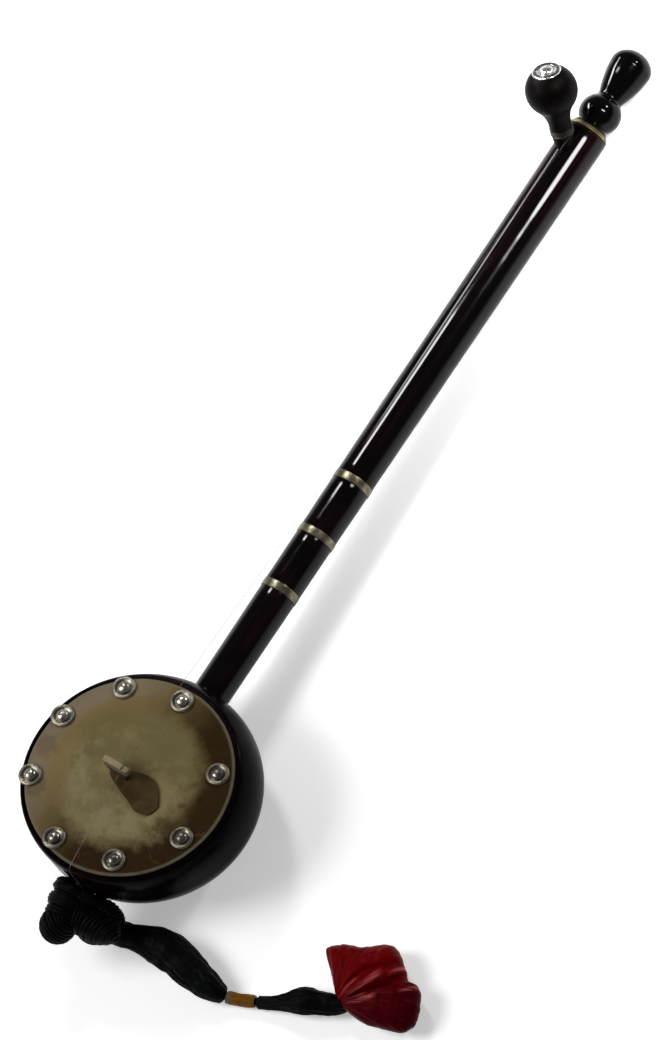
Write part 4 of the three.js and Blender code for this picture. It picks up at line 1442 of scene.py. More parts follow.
@dataclass
class Head:
    """The collar and the turned finial on the neck's end."""

    kit: Kit
    bead_place: float = 550.8
    bead: tuple[float, float] = (14.3, 13.7)
    bead_cut: float = 9.1
    bead_top: float = 47
    waist: tuple[float, float] = (8.9, 12.5)
    pear: tuple[float, float] = (14.35, 37)
    tip: float = 48.9
    gap: float = 0.3

    def finial(self) -> Outline:
        """Draws the finial's section.

        Returns:
            The section, measured from the middle of its bead.
        """
        start = math.degrees(math.asin(self.bead_cut / self.bead[1]))
        foot = [(0, -12.2), (11.2, -12.2), (11.9, -12.05), (12.1, -11.6)]
        foot += [(11.9, -11), (11.2, -10.3), (10.95, -9.6)]
        bead = arc(0, *self.bead, -start, self.bead_top, 34)
        (_, low), (wide, high) = self.waist, self.pear
        shares = ((0.77, 0.27), (0.925, 0.62), (1, 1))
        flank = [(wide * share, low + (high - low) * up) for share, up in shares]
        side = catmull([bead[-1], self.waist, *flank], 14)[1:]
        crown = arc(high, wide, self.tip - high, 0, 90, 22)[1:-1]
        return [*foot, *bead, *(tuple(row) for row in side), *crown, (0.0, self.tip)]

    def build(self) -> None:
        """Builds the collar and the finial."""
        base = SIZES.neck_end + self.gap
        section = [
            (4.8, 0), (13.6, 0), (14.4, 0.12), (14.75, 0.5), (14.6, 1.1), (14.0, 1.6), (13.75, 1.9),
            (13.9, 2.2), (13.6, 2.9), (13.0, 3.4), (12.4, 3.75), (4.8, 3.8),
        ]
        ring = lathe("head_collar", [(r, base + h) for r, h in section], ALONG_NECK, closed=True)
        self.kit.fit(ring, "collar_brass", "collar")
        knob = lathe("head_finial", [(r, h + self.bead_place) for r, h in self.finial()], ALONG_NECK, 144)
        self.kit.fit(knob, "black_lacquer", "finial")


@dataclass
class Peg:
    """The ball-headed tuning peg with its stud, measured along its axis from the neck's axis."""

    kit: Kit
    place_y: float = 514
    to_head: float = math.radians(23.3)
    aside: float = math.radians(18.2)
    tip_radius: float = 5.7
    shaft: tuple[float, float] = (7.5, 28)
    flare: float = 13.6
    ball: float = 17.4
    ball_place: float = 56
    stud: float = 9.7
    stud_height: float = 3.4
    stud_boss: float = 0.5
    stud_pin: float = 9
    tip_proud: float = 1.2

    def frame(self) -> Matrix:
        """Finds the peg's own frame.

        Returns:
            Its matrix, with +Z along the peg's axis.
        """
        along = math.cos(self.to_head)
        axis = (-math.sin(self.aside) * along, math.sin(self.to_head), math.cos(self.aside) * along)
        spot = Matrix.Translation((0, self.place_y * MM, SIZES.axis_z * MM))
        return LEANING @ spot @ Vector((0, 0, 1)).rotation_difference(Vector(axis)).to_matrix().to_4x4()

    def rim(self) -> float:
        """Height of the flat that the stud sits on."""
        return self.ball_place + math.sqrt(self.ball**2 - self.stud**2)

    def outline(self) -> Outline:
        """Draws the peg's section: tapered shaft, flare and ball.

        Returns:
            The section, from tip to ball.
        """
        tip = -(SIZES.neck_radius(self.place_y) / math.cos(self.to_head) + self.tip_proud)
        thick, end = self.shaft
        rows = [(0, tip), (4.9, tip), (5.45, tip + 0.2), (self.tip_radius, tip + 0.7)]
        for t in np.linspace(0.06, 1, 12):
            rows.append((self.tip_radius + (thick - self.tip_radius) * t, tip + (end - tip) * t))
        angle = math.acos(self.flare / self.ball)
        top = np.array([self.flare, self.ball_place - self.ball * math.sin(angle)])
        pull = (top[1] - end) / 2
        a, b = np.array([thick, end]), np.array([thick, end + pull])
        c = top - np.array([math.sin(angle), math.cos(angle)]) * pull / 2
        for t in np.linspace(0, 1, 18)[1:]:
            u = 1 - t
            rows.append(tuple(u**3 * a + 3 * u**2 * t * b + 3 * u * t**2 * c + t**3 * top))
        crown = math.degrees(math.acos(self.stud / self.ball))
        rows += arc(self.ball_place, self.ball, self.ball, -math.degrees(angle), crown, 44)[1:]
        return rows + [(r, self.rim() + 0.1) for r in (9.2, 1.5, 0)]

    def build(self) -> None:
        """Builds the peg and its stud."""
        shaft = lathe("tuning_peg", self.outline(), self.frame())
        self.kit.fit(shaft, "peg_lacquer", "peg", body=Body.PEG)
        head = tack_outline(self.stud, self.stud_height, self.stud_boss, self.stud_pin)
        rows = [(r, h + self.rim() + 0.15) for r, h in head]
        stud = lathe("tuning_peg_stud", rows, self.frame(), 96)
        self.kit.fit(stud, "stud_chrome", "peg_stud", body=Body.PEG)


# Strings and bridge


@dataclass
class Strings:
    """The string and its turns on the peg, which keep their solids."""

    kit: Kit
    nodes: tuple[str, ...] = ("string", "string_winding")

    def build(self) -> None:
        """Gives both their steel."""
        for node in self.nodes:
            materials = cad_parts[node].data.materials
            materials.clear()
            materials.append(self.kit.finishes["string_steel"][1])
            log.info("%s keeps its solid", node)


@dataclass
class Bridge:
    """The loose bridge with its saddle, on a leaf of dark leather that stands for the bridge's cast shadow:
    a painted shadow.
    """

    kit: Kit
    spot: tuple[float, float] = (-5.8, -1.0)
    foot_height: float = 2.0
    turn: float = math.radians(-2.6)
    foot: float = 6.5
    top: float = 9.3
    tall: float = 10.0
    arch: tuple[float, float] = (2.7, 3.0)
    saddle_half: float = 9.9
    saddle_heights: tuple[float, float] = (4.4, 5.6)
    notch: tuple[float, float, float] = (5.8, 4.2, 0.7)
    notch_half: float = 0.62
    thicknesses: tuple[float, float] = (5, 3.8)
    eased: tuple[float, float] = (0.5, 0.35)
    seat: float = 0.15
    pad_start: float = -12.8
    pad_size: tuple[float, float] = (41.5, 24)
    pad_thickness: float = 1.3

    def slab(self, name: str, loop: Outline, thickness: float, base: float, ease: float) -> Piece:
        """Stands a drawn outline up, with eased and slightly uneven edges.

        Args:
            name: the object's name.
            loop: (across, height) in millimetres.
            thickness: along the neck.
            base: height of the slab's foot.
            ease: how far its edges are rounded.

        Returns:
            The slab.
        """
        at = Vector((*self.spot, SIZES.skin_face + self.foot_height)) * MM
        matrix = LEANING @ Matrix.Translation(at) @ Matrix.Rotation(self.turn, 4, "Z")
        edge = np.array(loop)
        inward = edge.mean(0) - edge
        inward /= np.linalg.norm(inward, axis=1)[:, None]
        steps = [(-0.5, 1.0), (-0.47, 0.3), (-0.42, 0.0), (0.0, -0.05)]
        steps += [(-depth, inset) for depth, inset in steps[2::-1]]
        rings = []
        for depth, inset in steps:
            x, z = (edge + inward * ease * inset).T
            rings.append(place(np.stack([x, np.full(len(x), depth * thickness), z + base], 1), matrix))
        return loft(name, rings, caps=True, sharp=50)

    def body(self) -> Outline:
        """Draws the bridge's body.

        Returns:
            Its outline, with the arch between its feet.
        """
        side = [(self.foot + (self.top - self.foot) * t**2, self.tall * t) for t in np.linspace(0, 1, 12)]
        turns = np.linspace(0, math.pi, 13)
        under = [(-self.arch[0] * math.cos(t), self.arch[1] * math.sin(t)) for t in turns]
        return side + [(-x, z) for x, z in side[::-1]] + under

    def saddle(self) -> Outline:
        """Draws the saddle.

        Returns:
            Its outline, with the string's notch in its crown.
        """
        half, (shoulder, crown), (notch_x, notch_z, r) = self.saddle_half, self.saddle_heights, self.notch
        rows = [(-half, 0.0), (half, 0.0)]
        for x in np.linspace(half, -half, 90):
            z = shoulder + (crown - shoulder) * (1 - (x / half) ** 2)
            cut = abs(x - notch_x)
            if cut < self.notch_half:
                z = min(z, notch_z + r - math.sqrt(r**2 - cut**2))
            rows.append((x, z))
        return rows

    def pad(self) -> Piece:
        """Builds the leather leaf that stands for the bridge's cast shadow.

        Returns:
            The leaf, its edge lifted a little off the skin.
        """
        shares = [
            (0, -0.175), (0.005, 0.085), (0.236, 0.142), (0.455, 0.233), (0.672, 0.233), (0.829, 0.08),
            (0.978, -0.275), (1, -0.45), (0.94, -0.7), (0.8, -0.775), (0.665, -0.754), (0.499, -0.608),
            (0.263, -0.433),
        ]
        long, wide = self.pad_size
        loop = catmull([(self.pad_start + u * long, v * wide) for u, v in shares], 10, closed=True)
        middle = loop.mean(0)
        base = SIZES.skin_face + self.seat
        rings = []
        out = np.linspace(0.05, 1, 16)
        for upper, steps in ((False, out), (True, out[::-1])):
            for share in steps:
                x, y = (middle + (loop - middle) * share).T
                lift = 0.25 * noise_1d(x / 9, 21) * noise_1d(y / 8, 22) * share**2 + 0.2 * share**4
                face = self.pad_thickness - 0.35 * max(0, (share - 0.9) / 0.1) ** 2 if upper else 0.0
                z = base + face + np.maximum(lift, 0) * (0.8 if upper else 0.6)
                rings.append(place(np.stack([x, y, z], 1), LEANING))
        return loft("bridge_leaf", rings, caps=True)

    def build(self) -> None:
        """Builds the body, the saddle and the leather leaf that stands for the bridge's painted shadow."""
        (foot, crown), (foot_ease, crown_ease) = self.thicknesses, self.eased
        body = self.slab("bridge_body", self.body(), foot, 0, foot_ease)
        self.kit.fit(body, "bridge_wood", "bridge")
        saddle = self.slab("bridge_crown", self.saddle(), crown, self.tall + self.seat, crown_ease)
        self.kit.fit(saddle, "saddle_bone", "bridge_saddle")
        # The leaf is a painted shadow: a dark sheet where the bridge's shadow falls
        self.kit.fit(self.pad(), "pad_leather", "bridge_pad")


# Silk at the tail


@dataclass(frozen=True)
class Lobe:
    """One ball of wound silk: its centre, radii, winding axis and turns, in the instrument's frame."""

    centre: Point
    radii: Point
    axis: Point
    turns: int

    def ball(self, points: np.ndarray, inset: float) -> np.ndarray:
        """Takes a unit ball onto the lobe, less an inset."""
        return np.array(self.centre) + points * (np.array(self.radii) - inset)


@dataclass
class TailKnot:
    """The silk cord wound round the stick's tail and tied, with its turns pulled tight."""

    kit: Kit
    strand: float = 1.15
    pitch: float = 2.3
    strand_sunk: float = 0.9
    core_sunk: float = 1.15
    per_turn: int = 44
    lobes: tuple[Lobe, ...] = (
        Lobe((-1.0, -86.5, 42.5), (15.0, 9.1, 14.0), (0.05, 1.0, 0.1), 11),
        Lobe((0.0, -100.4, 40.9), (12.4, 12.7, 12.5), (0.55, 0.6, 0.6), 13),
        Lobe((19.5, -87.9, 38.6), (19.8, 12.4, 13.0), (1.0, -0.15, -0.1), 18),
        Lobe((19.5, -93.0, 35.0), (10.5, 7.5, 8.5), (0.2, 0.3, 1.0), 8),
        Lobe((-2.0, -78.4, 43.5), (15.0, 5.6, 13.5), (0.05, 1.0, 0.1), 8),
        Lobe((5.5, -78.2, 41.0), (19.0, 7.0, 13.5), (0.12, 1.0, 0.05), 9),
        Lobe((-8.5, -76.0, 43.0), (8.0, 5.5, 12.0), (-0.3, 1.0, 0.1), 7),
        Lobe((19.8, -77.4, 38.0), (16.2, 8.4, 11.0), (1.0, -0.25, -0.1), 12),
    )

    def winding(self, lobe: Lobe, seed: int) -> np.ndarray:
        """Winds a strand over a lobe from end to end.

        Args:
            lobe: the lobe.
            seed: picks how its turns wander.

        Returns:
            The strand's points.
        """
        share = np.linspace(0, 1, lobe.turns * self.per_turn)
        turn = FULL_TURN * lobe.turns * share
        rise = np.radians(-78 + 156 * share) + 0.045 * noise_1d(turn * 0.45, seed)
        rise += 0.03 * np.sin(turn + seed)
        ball = np.stack([np.cos(rise) * np.cos(turn), np.cos(rise) * np.sin(turn), np.sin(rise)], 1)
        swell = 1 + 0.025 * noise_1d(turn * 0.31, seed + 1)
        return lobe.ball(ball @ aimed(lobe.axis).T * swell[:, None], self.strand * self.strand_sunk)

    def cinch(self, centre: Point, radius: float, axis: Point, turns: float) -> np.ndarray:
        """A few tight turns that draw two lobes together.

        Args:
            centre: the middle of the turns.
            radius: their radius.
            axis: the way that they are stacked.
            turns: how many there are.

        Returns:
            The strand's points.
        """
        turn = np.linspace(0, FULL_TURN * turns, int(turns * 40))
        climb = np.linspace(-0.5, 0.5, len(turn)) * self.pitch * turns
        ring = np.stack([radius * np.cos(turn), radius * np.sin(turn), climb], 1)
        return np.array(centre) + ring @ aimed(axis).T

    def build(self) -> None:
        """Builds the knot's soft core and the strand wound over it."""
        cores = []
        rows = [(0.0, -1.0), *arc(0, 1, 1, -90, 90, 32)[1:-1], (0.0, 1.0)]
        for lobe in self.lobes:
            shape = partial(lobe.ball, inset=self.strand * self.core_sunk)
            cores.append(lathe("core", rows, LEANING, 48, shape=shape))
        self.kit.fit(joined("silk_knot_core", cores), "knot_silk", "tail_knot")
        lines = [self.winding(lobe, 31 + 4 * i) for i, lobe in enumerate(self.lobes)]
        lines.append(self.cinch((0, -93.6, 41.8), 11.9, (0, 1, 0.1), 2.4))
        lines.append(self.cinch((9.5, -88.2, 40.5), 11.3, (1, 0.1, -0.2), 2.6))
        strands = self.kit.thread("silk_knot_strand", lines, "knot_silk", self.strand, 10, LEANING)
        self.kit.fit(strands, "knot_silk")


@dataclass
class Sleeve:
    """A sleeve of floss round the cord, gathered in soft lengthwise folds, with loose strands over it.

    Places are along the cord and radii at even steps, in millimetres. It sags towards the player where it
    begins.
    """

    kit: Kit
    name: str
    node: str
    start: float
    end: float
    radii: tuple[float, ...]
    strands: int
    seed: int
    sag: float = 0.0
    fold_count: int = 13
    thread: float = 0.27
    sections: int = 190
    sides: int = 128

    def __post_init__(self) -> None:
        """Draws the folds."""
        self.rng = np.random.default_rng(self.seed)
        self.bulge = catmull([(i / (len(self.radii) - 1), r) for i, r in enumerate(self.radii)], 24)
        draw = self.rng.uniform
        self.folds = [
            (draw(0, FULL_TURN), draw(-0.9, 0.9), draw(0.10, 0.2), int(self.rng.integers(1000)))
            for _ in range(self.fold_count)
        ]

    def radius(self, share: float, angles: np.ndarray) -> np.ndarray:
        """Radii of a section.

        Args:
            share: how far along the sleeve it is.
            angles: the corners' angles.

        Returns:
            A radius for each angle.
        """
        base = float(np.interp(share, self.bulge[:, 0], self.bulge[:, 1]))
        r = base * (1 + 0.035 * np.cos(2 * angles + 5 * share + self.seed))
        r += base * 0.03 * noise_1d(share * 9 + self.seed, self.seed)
        r += 0.10 * np.sin(11 * angles + 14 * share) * noise_1d(share * 17, self.seed + 3)
        for turn, drift, width, wobble in self.folds:
            centre = turn + drift * share + 0.35 * noise_1d(share * 3, wobble)
            away = (angles - centre + math.pi) % FULL_TURN - math.pi
            depth = 0.085 * (0.55 + 0.45 * math.sin(share * 7 + wobble))
            r -= base * depth * np.exp(-((away / width) ** 2))
        lip = min(1, min(share, 1 - share) * (self.end - self.start) / 2.2)
        return r * math.sqrt(max(1 - (1 - lip) ** 2, 0.12))

    def build(self, run: np.ndarray) -> list[Piece]:
        """Builds the sleeve and its strands.

        Args:
            run: the cord's points inside the sleeve, one for each section.

        Returns:
            The sleeve and its strands.
        """
        run[:, 1] -= self.sag * np.clip(1 - np.linspace(0, 2.6, len(run)), 0, 1)
        rows = tube_rows(run, self.radius, self.sides)
        body = self.kit.fit(tube_object(self.name, rows), "black_silk", self.node)
        draw, lines = self.rng.uniform, []
        for _ in range(self.strands):
            first, last = int(self.rng.integers(2, 70)), int(self.rng.integers(110, 188))
            line = strand_on(rows, draw(0, self.sides), draw(-16, 22), first, last, draw(-0.12, 0.1))
            lines.append(line[::3])
        loose = self.kit.thread(f"{self.name}_strands", lines, "strand_silk", self.thread, 6)
        return [body, self.kit.fit(loose, "strand_silk")]


@dataclass
class Tuft:
    """The red tuft on the cord's end: two soft lobes, gathered and creased at the neck.

    Each fold has its angle, its slope, its width, its depth and its reach. The outline is in shares of
    the size, from the neck.
    """

    kit: Kit
    neck: np.ndarray
    size: float = 50
    lift: float = 13.2
    thickness: float = 25
    rings: int = 110
    strands: int = 36
    thread: float = 0.16
    above: float = 80
    folds: tuple[tuple[float, float, float, float, float], ...] = (
        (0.50, 0.33, 0.085, 0.46, 3.0), (1.36, -0.34, 0.06, 0.22, 1.15), (0.80, 0.14, 0.06, 0.20, 0.6),
        (1.08, 0.00, 0.06, 0.12, 0.5), (0.22, 0.22, 0.06, 0.20, 0.6), (0.02, 0.00, 0.05, 0.10, 0.45),
        (1.72, 0.02, 0.08, 0.12, 0.6), (2.05, -0.05, 0.06, 0.08, 0.5), (0.36, 0.10, 0.04, 0.10, 0.8),
    )
    outline: tuple[tuple[float, float], ...] = (
        (0.05, 0.02), (0.2, -0.035), (0.37, -0.065), (0.59, -0.06), (0.83, 0), (1, 0.05), (1.09, 0.16),
        (1.1, 0.29), (1.05, 0.43), (0.96, 0.6), (0.86, 0.69), (0.73, 0.68), (0.62, 0.78), (0.49, 0.89),
        (0.37, 0.98), (0.22, 1), (0.07, 0.91), (-0.09, 0.8), (-0.29, 0.74), (-0.42, 0.66), (-0.5, 0.55),
        (-0.27, 0.31), (-0.09, 0.12),
    )

    def from_neck(self, x: np.ndarray, y: np.ndarray) -> tuple[np.ndarray, np.ndarray]:
        """The angle and the distance of places from the neck."""
        return np.arctan2(y - self.neck[1], x - self.neck[0]), np.hypot(x - self.neck[0], y - self.neck[1])

    def creases(self, x: np.ndarray, y: np.ndarray) -> np.ndarray:
        """Finds how far the folds sink.

        Args:
            x: places across the table, in millimetres.
            y: places along it.

        Returns:
            The depth at each place, as a share of the thickness.
        """
        angle, far = self.from_neck(x, y)
        far = far / self.size
        sink = 0.022 * np.cos(angle * 31 + 2 * noise_1d(far * 3, 71)) * np.exp(-((far / 0.30) ** 2))
        for i, (start, slope, width, depth, reach) in enumerate(self.folds):
            bend = start + slope * far + 0.05 * noise_1d(far * 2.2, 50 + i)
            fade = np.exp(-((far / reach) ** 4))
            sink += depth * fade * np.exp(-(((angle - bend) / (width * (1 + 0.5 * far))) ** 2))
        return sink

    def body(self) -> tuple[list[np.ndarray], list[np.ndarray]]:
        """Draws the tuft from bottom to top.

        Returns:
            Its rings in millimetres, and the UVs of their corners.
        """
        places = [self.neck[:2] + np.array(share) * self.size for share in self.outline]
        rim = catmull(places, 12, closed=True)
        middle = rim.mean(0)
        rings, uvs = [], []
        for angle in -math.pi / 2 + math.pi * np.arange(self.rings + 1) / self.rings:
            x, y = (middle + (rim - middle) * max(math.cos(angle), 0.0) ** 0.72).T
            turn, far = self.from_neck(x, y)
            swell = 0.5 + 0.5 * np.sin(np.minimum(1, far / (0.55 * self.size)) * math.pi / 2)
            puff = 0.10 * noise_1d(x / 13, 61) * noise_1d(y / 14, 62)
            puff += 0.03 * noise_1d(x / 5, 63) * noise_1d(y / 5.5, 64)
            half = self.thickness / 2 * swell * (1 - self.creases(x, y) + puff)
            ragged = 1 + 0.012 * noise_1d(turn * 11, 65) * (abs(angle) < 0.9)
            plan = middle + (np.stack([x, y], 1) - middle) * ragged[:, None]
            height = np.maximum(self.lift + half * math.sin(angle), 0.4)
            rings.append(np.column_stack([plan, height]))
            uvs.append(np.stack([turn / FULL_TURN, far * MM], 1))
        return rings, uvs

    def loose(self, tree: BVHTree) -> list[np.ndarray]:
        """Lays lines from the neck over the tuft's face, and a few over its far edge.

        Args:
            tree: the tuft's faces, in millimetres.

        Returns:
            The lines.
        """
        rng = np.random.default_rng(77)
        lines = []
        for _ in range(self.strands):
            angle, bend = rng.uniform(-0.12, 2.35), rng.uniform(-0.12, 0.12)
            start = self.size * rng.uniform(0.05, 0.55)
            reach = start + self.size * rng.uniform(0.25, 0.8)
            line = []
            for far in np.arange(start, reach, 0.7):
                turn = angle + bend * far / self.size
                x, y = self.neck[0] + far * math.cos(turn), self.neck[1] + far * math.sin(turn)
                hit = tree.ray_cast(Vector((x, y, self.above)), Vector((0, 0, -1)))[0]
                if hit is None:
                    break
                line.append((x, y, hit.z + 0.02))
            if len(line) > 6:
                lines.append(np.array(line))
        return lines

    def build(self) -> list[Piece]:
        """Builds the tuft.

        Returns:
            The tuft and its strands.
        """
        rings, uvs = self.body()
        rings = [ring * MM for ring in rings]
        body = loft("red_tuft", rings, lambda i, k: uvs[i][k % len(uvs[i])], sharp=180)
        self.kit.fit(body, "red_silk", "tassel_tuft")
        points = [vertex.co / MM for vertex in body.data.vertices]
        tree = BVHTree.FromPolygons(points, [list(face.vertices) for face in body.data.polygons])
        strands = self.kit.thread("red_tuft_strands", self.loose(tree), "red_strand", self.thread, 5)
        return [body, self.kit.fit(strands, "red_strand")]


@dataclass
class Tassel:
    """The tassel that lies on the table: cord, two silk sleeves, gold wrap and red tuft."""

    kit: Kit
    cord_radius: float = 2.5
    sleeve_start: float = 22.5
    wrap_start: float = 105
    wrap_length: float = 19.5
    wrap_turns: int = 30
    wrap_radius: float = 4.05
    wrap_thread: float = 0.36
    wrap_core: float = 3.9
    lower_length: float = 56
    lower_under_tuft: float = 7.5
    gap: float = 0.8
    upper_radii: tuple[float, ...] = tuple(
        12.8 * share for share in (0.45, 0.68, 0.74, 0.97, 1, 0.945, 0.845, 0.71, 0.42)
    )
    lower_radii: tuple[float, ...] = tuple(
        9.1 * share for share in (0.47, 0.52, 0.62, 0.92, 1.06, 0.88, 0.80, 0.52)
    )

    def __post_init__(self) -> None:
        """Measures the cord's route."""
        self.line, self.length = evenly(catmull(CORD_ROUTE, 20), 600)

    def stretch(self, start: float, end: float, count: int) -> np.ndarray:
        """Points of the cord between two places along it, in millimetres."""
        along = np.linspace(0, self.length, len(self.line))
        return sampled(self.line, along, np.linspace(start, end, count))

    def cord(self) -> Piece:
        """Lays the cord itself, as a curve.

        Returns:
            The cord.
        """
        curve = bpy.data.curves.new("tassel_silk_cord", "CURVE")
        curve.dimensions = "3D"
        curve.bevel_depth = self.cord_radius * MM
        curve.bevel_resolution = 5
        curve.use_fill_caps = True
        spline = curve.splines.new("POLY")
        points, _ = evenly(self.line, 140)
        spline.points.add(len(points) - 1)
        for target, point in zip(spline.points, points):
            target.co = (*(point * MM), 1)
        return self.kit.fit(linked("tassel_silk_cord", curve), "knot_silk", "tassel_cord")

    def wrap(self) -> Piece:
        """Winds the gold thread tight round the cord between the sleeves.

        Returns:
            The thread with its core.
        """
        per_turn, end = 36, self.wrap_start + self.wrap_length
        line = self.stretch(self.wrap_start + 0.3, end - 0.3, self.wrap_turns * per_turn)
        rows = []
        for i, (centre, normal, side) in enumerate(frames_along(line)):
            turn, share = FULL_TURN * i / per_turn, i / (len(line) - 1)
            near_end = min(share, 1 - share) / 0.03
            r = self.wrap_radius + 0.12 * math.sin(share * 11) - 0.35 * math.exp(-(near_end**2))
            rows.append(centre + r * (math.cos(turn) * normal + math.sin(turn) * side))
        threads = self.kit.thread("gold_winding", [np.array(rows)], "gold_thread", self.wrap_thread, 8)
        run = self.stretch(self.wrap_start, end, 40)
        plain = tube_rows(run, lambda _, angles: np.full_like(angles, self.wrap_core), 40)
        core = tube_object("gold_core", plain)
        return self.kit.fit(joined("gold_wrap", [threads, core]), "gold_thread", "tassel_wrap")

    def build(self) -> None:
        cord = self.cord()
        upper_end = self.wrap_start - self.gap
        lower_start = self.wrap_start + self.wrap_length + self.gap
        tuft_start = lower_start + self.lower_length
        upper_start = self.sleeve_start - (upper_end - self.sleeve_start) / 7
        upper = Sleeve(
            self.kit, "upper_sleeve", "tassel_sleeve_upper", upper_start, upper_end, self.upper_radii,
            strands=70, seed=5, sag=2.4,
        )
        lower_end = tuft_start + self.lower_under_tuft
        lower = Sleeve(
            self.kit, "lower_sleeve", "tassel_sleeve_lower", lower_start, lower_end, self.lower_radii,
            strands=44, seed=9,
        )
        rest = upper.build(self.stretch(upper.start, upper.end, upper.sections))
        rest.append(self.wrap())
        rest += lower.build(self.stretch(lower.start, lower.end, lower.sections))
        rest += Tuft(self.kit, self.stretch(tuft_start, tuft_start, 1)[0]).build()
        tuple(c * MM for c in CORD_ROUTE[0])


# Stage


def facing(place_at: Vector, right: Vector, up: Vector, back: Vector) -> Matrix:
    """Matrix of a lamp or camera from its place and its own three directions."""
    return Matrix.Translation(place_at) @ Matrix((right, up, back)).transposed().to_4x4()


class LampShape(Enum):
    """A lamp's outline, and the share of its box that it fills."""

    RECTANGLE = 1.0
    ELLIPSE = math.pi / 4


@dataclass(frozen=True)
class Softbox:
    """One lamp: where it points, from which side and how far, how large and how bright it is."""

    name: str
    target: Point
    toward: Point
    distance: float
    width: float
    height: float
    radiance: float
    spread: float = 180
    shape: LampShape = LampShape.RECTANGLE
    upright: Point = (0, 1, 0)

    def build(self) -> None:
        """Hangs the lamp, its height side along upright."""
        lamp = bpy.data.lights.new(self.name, "AREA")
        lamp.shape = self.shape.name
        lamp.size, lamp.size_y = self.width, self.height
        lamp.spread = math.radians(self.spread)
        area = self.width * self.height * self.shape.value
        half = lamp.spread / 2
        narrowing = 1 - half / math.tan(half) if self.spread < 180 else 1
        lamp.energy = self.radiance * math.pi * area * narrowing
        back = Vector(self.toward).normalized()
        side = Vector(self.upright).cross(back).normalized()
        item = linked(self.name, lamp)
        item.matrix_world = facing(Vector(self.target) + back * self.distance, side, back.cross(side), back)
        item.visible_camera = False


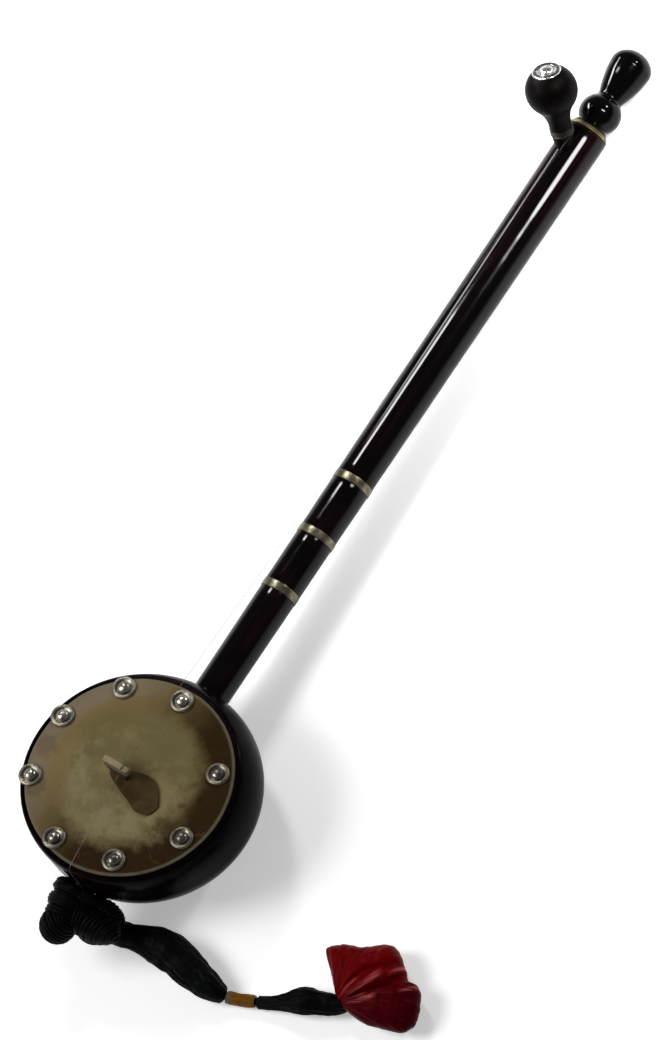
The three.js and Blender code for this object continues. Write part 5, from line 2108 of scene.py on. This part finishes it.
@dataclass
class Studio:
    """Floor, sky, lamps and the camera at the photograph's angle."""

    right: Point = (0.8117, 0.5293, -0.2478)
    up: Point = (-0.4225, 0.8242, 0.3772)
    anchor: Point = (0.0, 0.001846, 0.04096)
    anchor_pixel: tuple[float, float] = (141.6, 798.6)
    image: tuple[int, int] = (659, 1040)
    pixel: float = 0.0006465
    distance: float = 20.0
    sensor: float = 36
    floor_half: float = 30.0
    floor_white: float = 0.93
    horizon: float = 0.06
    ceiling: float = 0.12
    lamps: tuple[Softbox, ...] = (
        Softbox("body_strip", (0, 0.325, 0.035), (-0.51, 0.26, 0.82), 1.0, 0.22, 0.15, 60, 60),
        Softbox(
            "head_glare", (0.0065, 0.525, 0.031), (0.47, 0.27, 0.84), 1.0, 0.40, 0.13, 85, 40,
            LampShape.ELLIPSE,
        ),
        Softbox(
            "head_side", (-0.003, 0.575, 0.027), (-0.79, -0.05, 0.57), 0.5, 0.067, 0.275, 88, 50,
            upright=(-0.37, 0.84, -0.41),
        ),
        Softbox("back_spot", (0.054, 0.052, 0.071), (0.275, 0.875, 0.398), 1.5, 0.12, 0.12, 120),
        Softbox("key", (0, 0.15, 0.04), (-0.5, -0.45, 0.74), 2.2, 1.0, 1.0, 10.6),
    )

    def camera(self) -> None:
        """A very long lens, so that the view is nearly parallel as in the photograph."""
        right, up = Vector(self.right).normalized(), Vector(self.up).normalized()
        back = right.cross(up).normalized()
        up = back.cross(right)
        across = (self.image[0] / 2 - self.anchor_pixel[0]) * self.pixel
        upward = (self.anchor_pixel[1] - self.image[1] / 2) * self.pixel
        middle = Vector(self.anchor) + right * across + up * upward
        data = bpy.data.cameras.new("camera")
        data.sensor_width = self.sensor
        data.lens = self.sensor * self.distance / (self.image[1] * self.pixel)
        data.clip_start, data.clip_end = 1, 100
        item = linked("camera", data)
        item.matrix_world = facing(middle + back * self.distance, right, up, back)
        bpy.context.scene.camera = item

    def floor(self) -> None:
        """A plain pale floor that stays white to the camera outside the object's shadow."""
        half = self.floor_half
        mesh = bpy.data.meshes.new("floor")
        corners = [(-half, -half, 0), (half, -half, 0), (half, half, 0), (-half, half, 0)]
        mesh.from_pydata(corners, [], [(0, 1, 2, 3)])
        s = Sketch("floor_paper")
        path = s.add("LightPath").outputs
        rays = [Value(s, path[f"Is {kind} Ray"]) for kind in ("Camera", "Glossy", "Transmission")]
        x, y, _ = s.split(s.coords())
        glow = s.length(x, y).between(0.8, 3.0).ranged(0.36, 0.8)
        s.feed(s.shader.inputs["Emission Strength"], rays[0].larger(rays[1].larger(rays[2])) * glow)
        white = (*[self.floor_white] * 3, 1)
        s.constants(base_color=white, roughness=0.9, specular_ior_level=0.1, emission_color=(1, 1, 1, 1))
        mesh.materials.append(s.material)
        linked("floor", mesh)

    def sky(self) -> None:
        """White low down, where a camera looks level past the floor, and dim overhead like a ceiling."""
        world = bpy.data.worlds.new("studio")
        bpy.context.scene.world = world
        world.use_nodes = True
        tree = world.node_tree
        tree.nodes.clear()
        kinds = ("TexCoord", "SeparateXYZ", "MapRange", "Background", "OutputWorld")
        coords, parts, ramp, shade, output = (tree.nodes.new(f"ShaderNode{kind}") for kind in kinds)
        ramp.interpolation_type = "SMOOTHSTEP"
        limits = (self.horizon, self.horizon * 3, 1.0, self.ceiling)
        for key, value in zip(("From Min", "From Max", "To Min", "To Max"), limits):
            ramp.inputs[key].default_value = value
        shade.inputs["Color"].default_value = (1, 1, 1, 1)
        tree.links.new(coords.outputs["Generated"], parts.inputs[0])
        tree.links.new(parts.outputs["Z"], ramp.inputs["Value"])
        tree.links.new(ramp.outputs["Result"], shade.inputs["Strength"])
        tree.links.new(shade.outputs[0], output.inputs["Surface"])

    def build(self) -> None:
        """Sets the whole stage."""
        bpy.context.scene.view_settings.view_transform = "Standard"
        self.camera()
        self.floor()
        self.sky()
        for lamp in self.lamps:
            lamp.build()


def main() -> None:
    """Builds the stage and then every piece in the order of assembly."""
    Studio().build()
    kit = Kit()
    for part in (Tassel, Bowl, Skin, Tacks, Neck, Head, Peg, Strings, Bridge, TailKnot):
        part(kit).build()


if __name__ == "__main__":
    main()
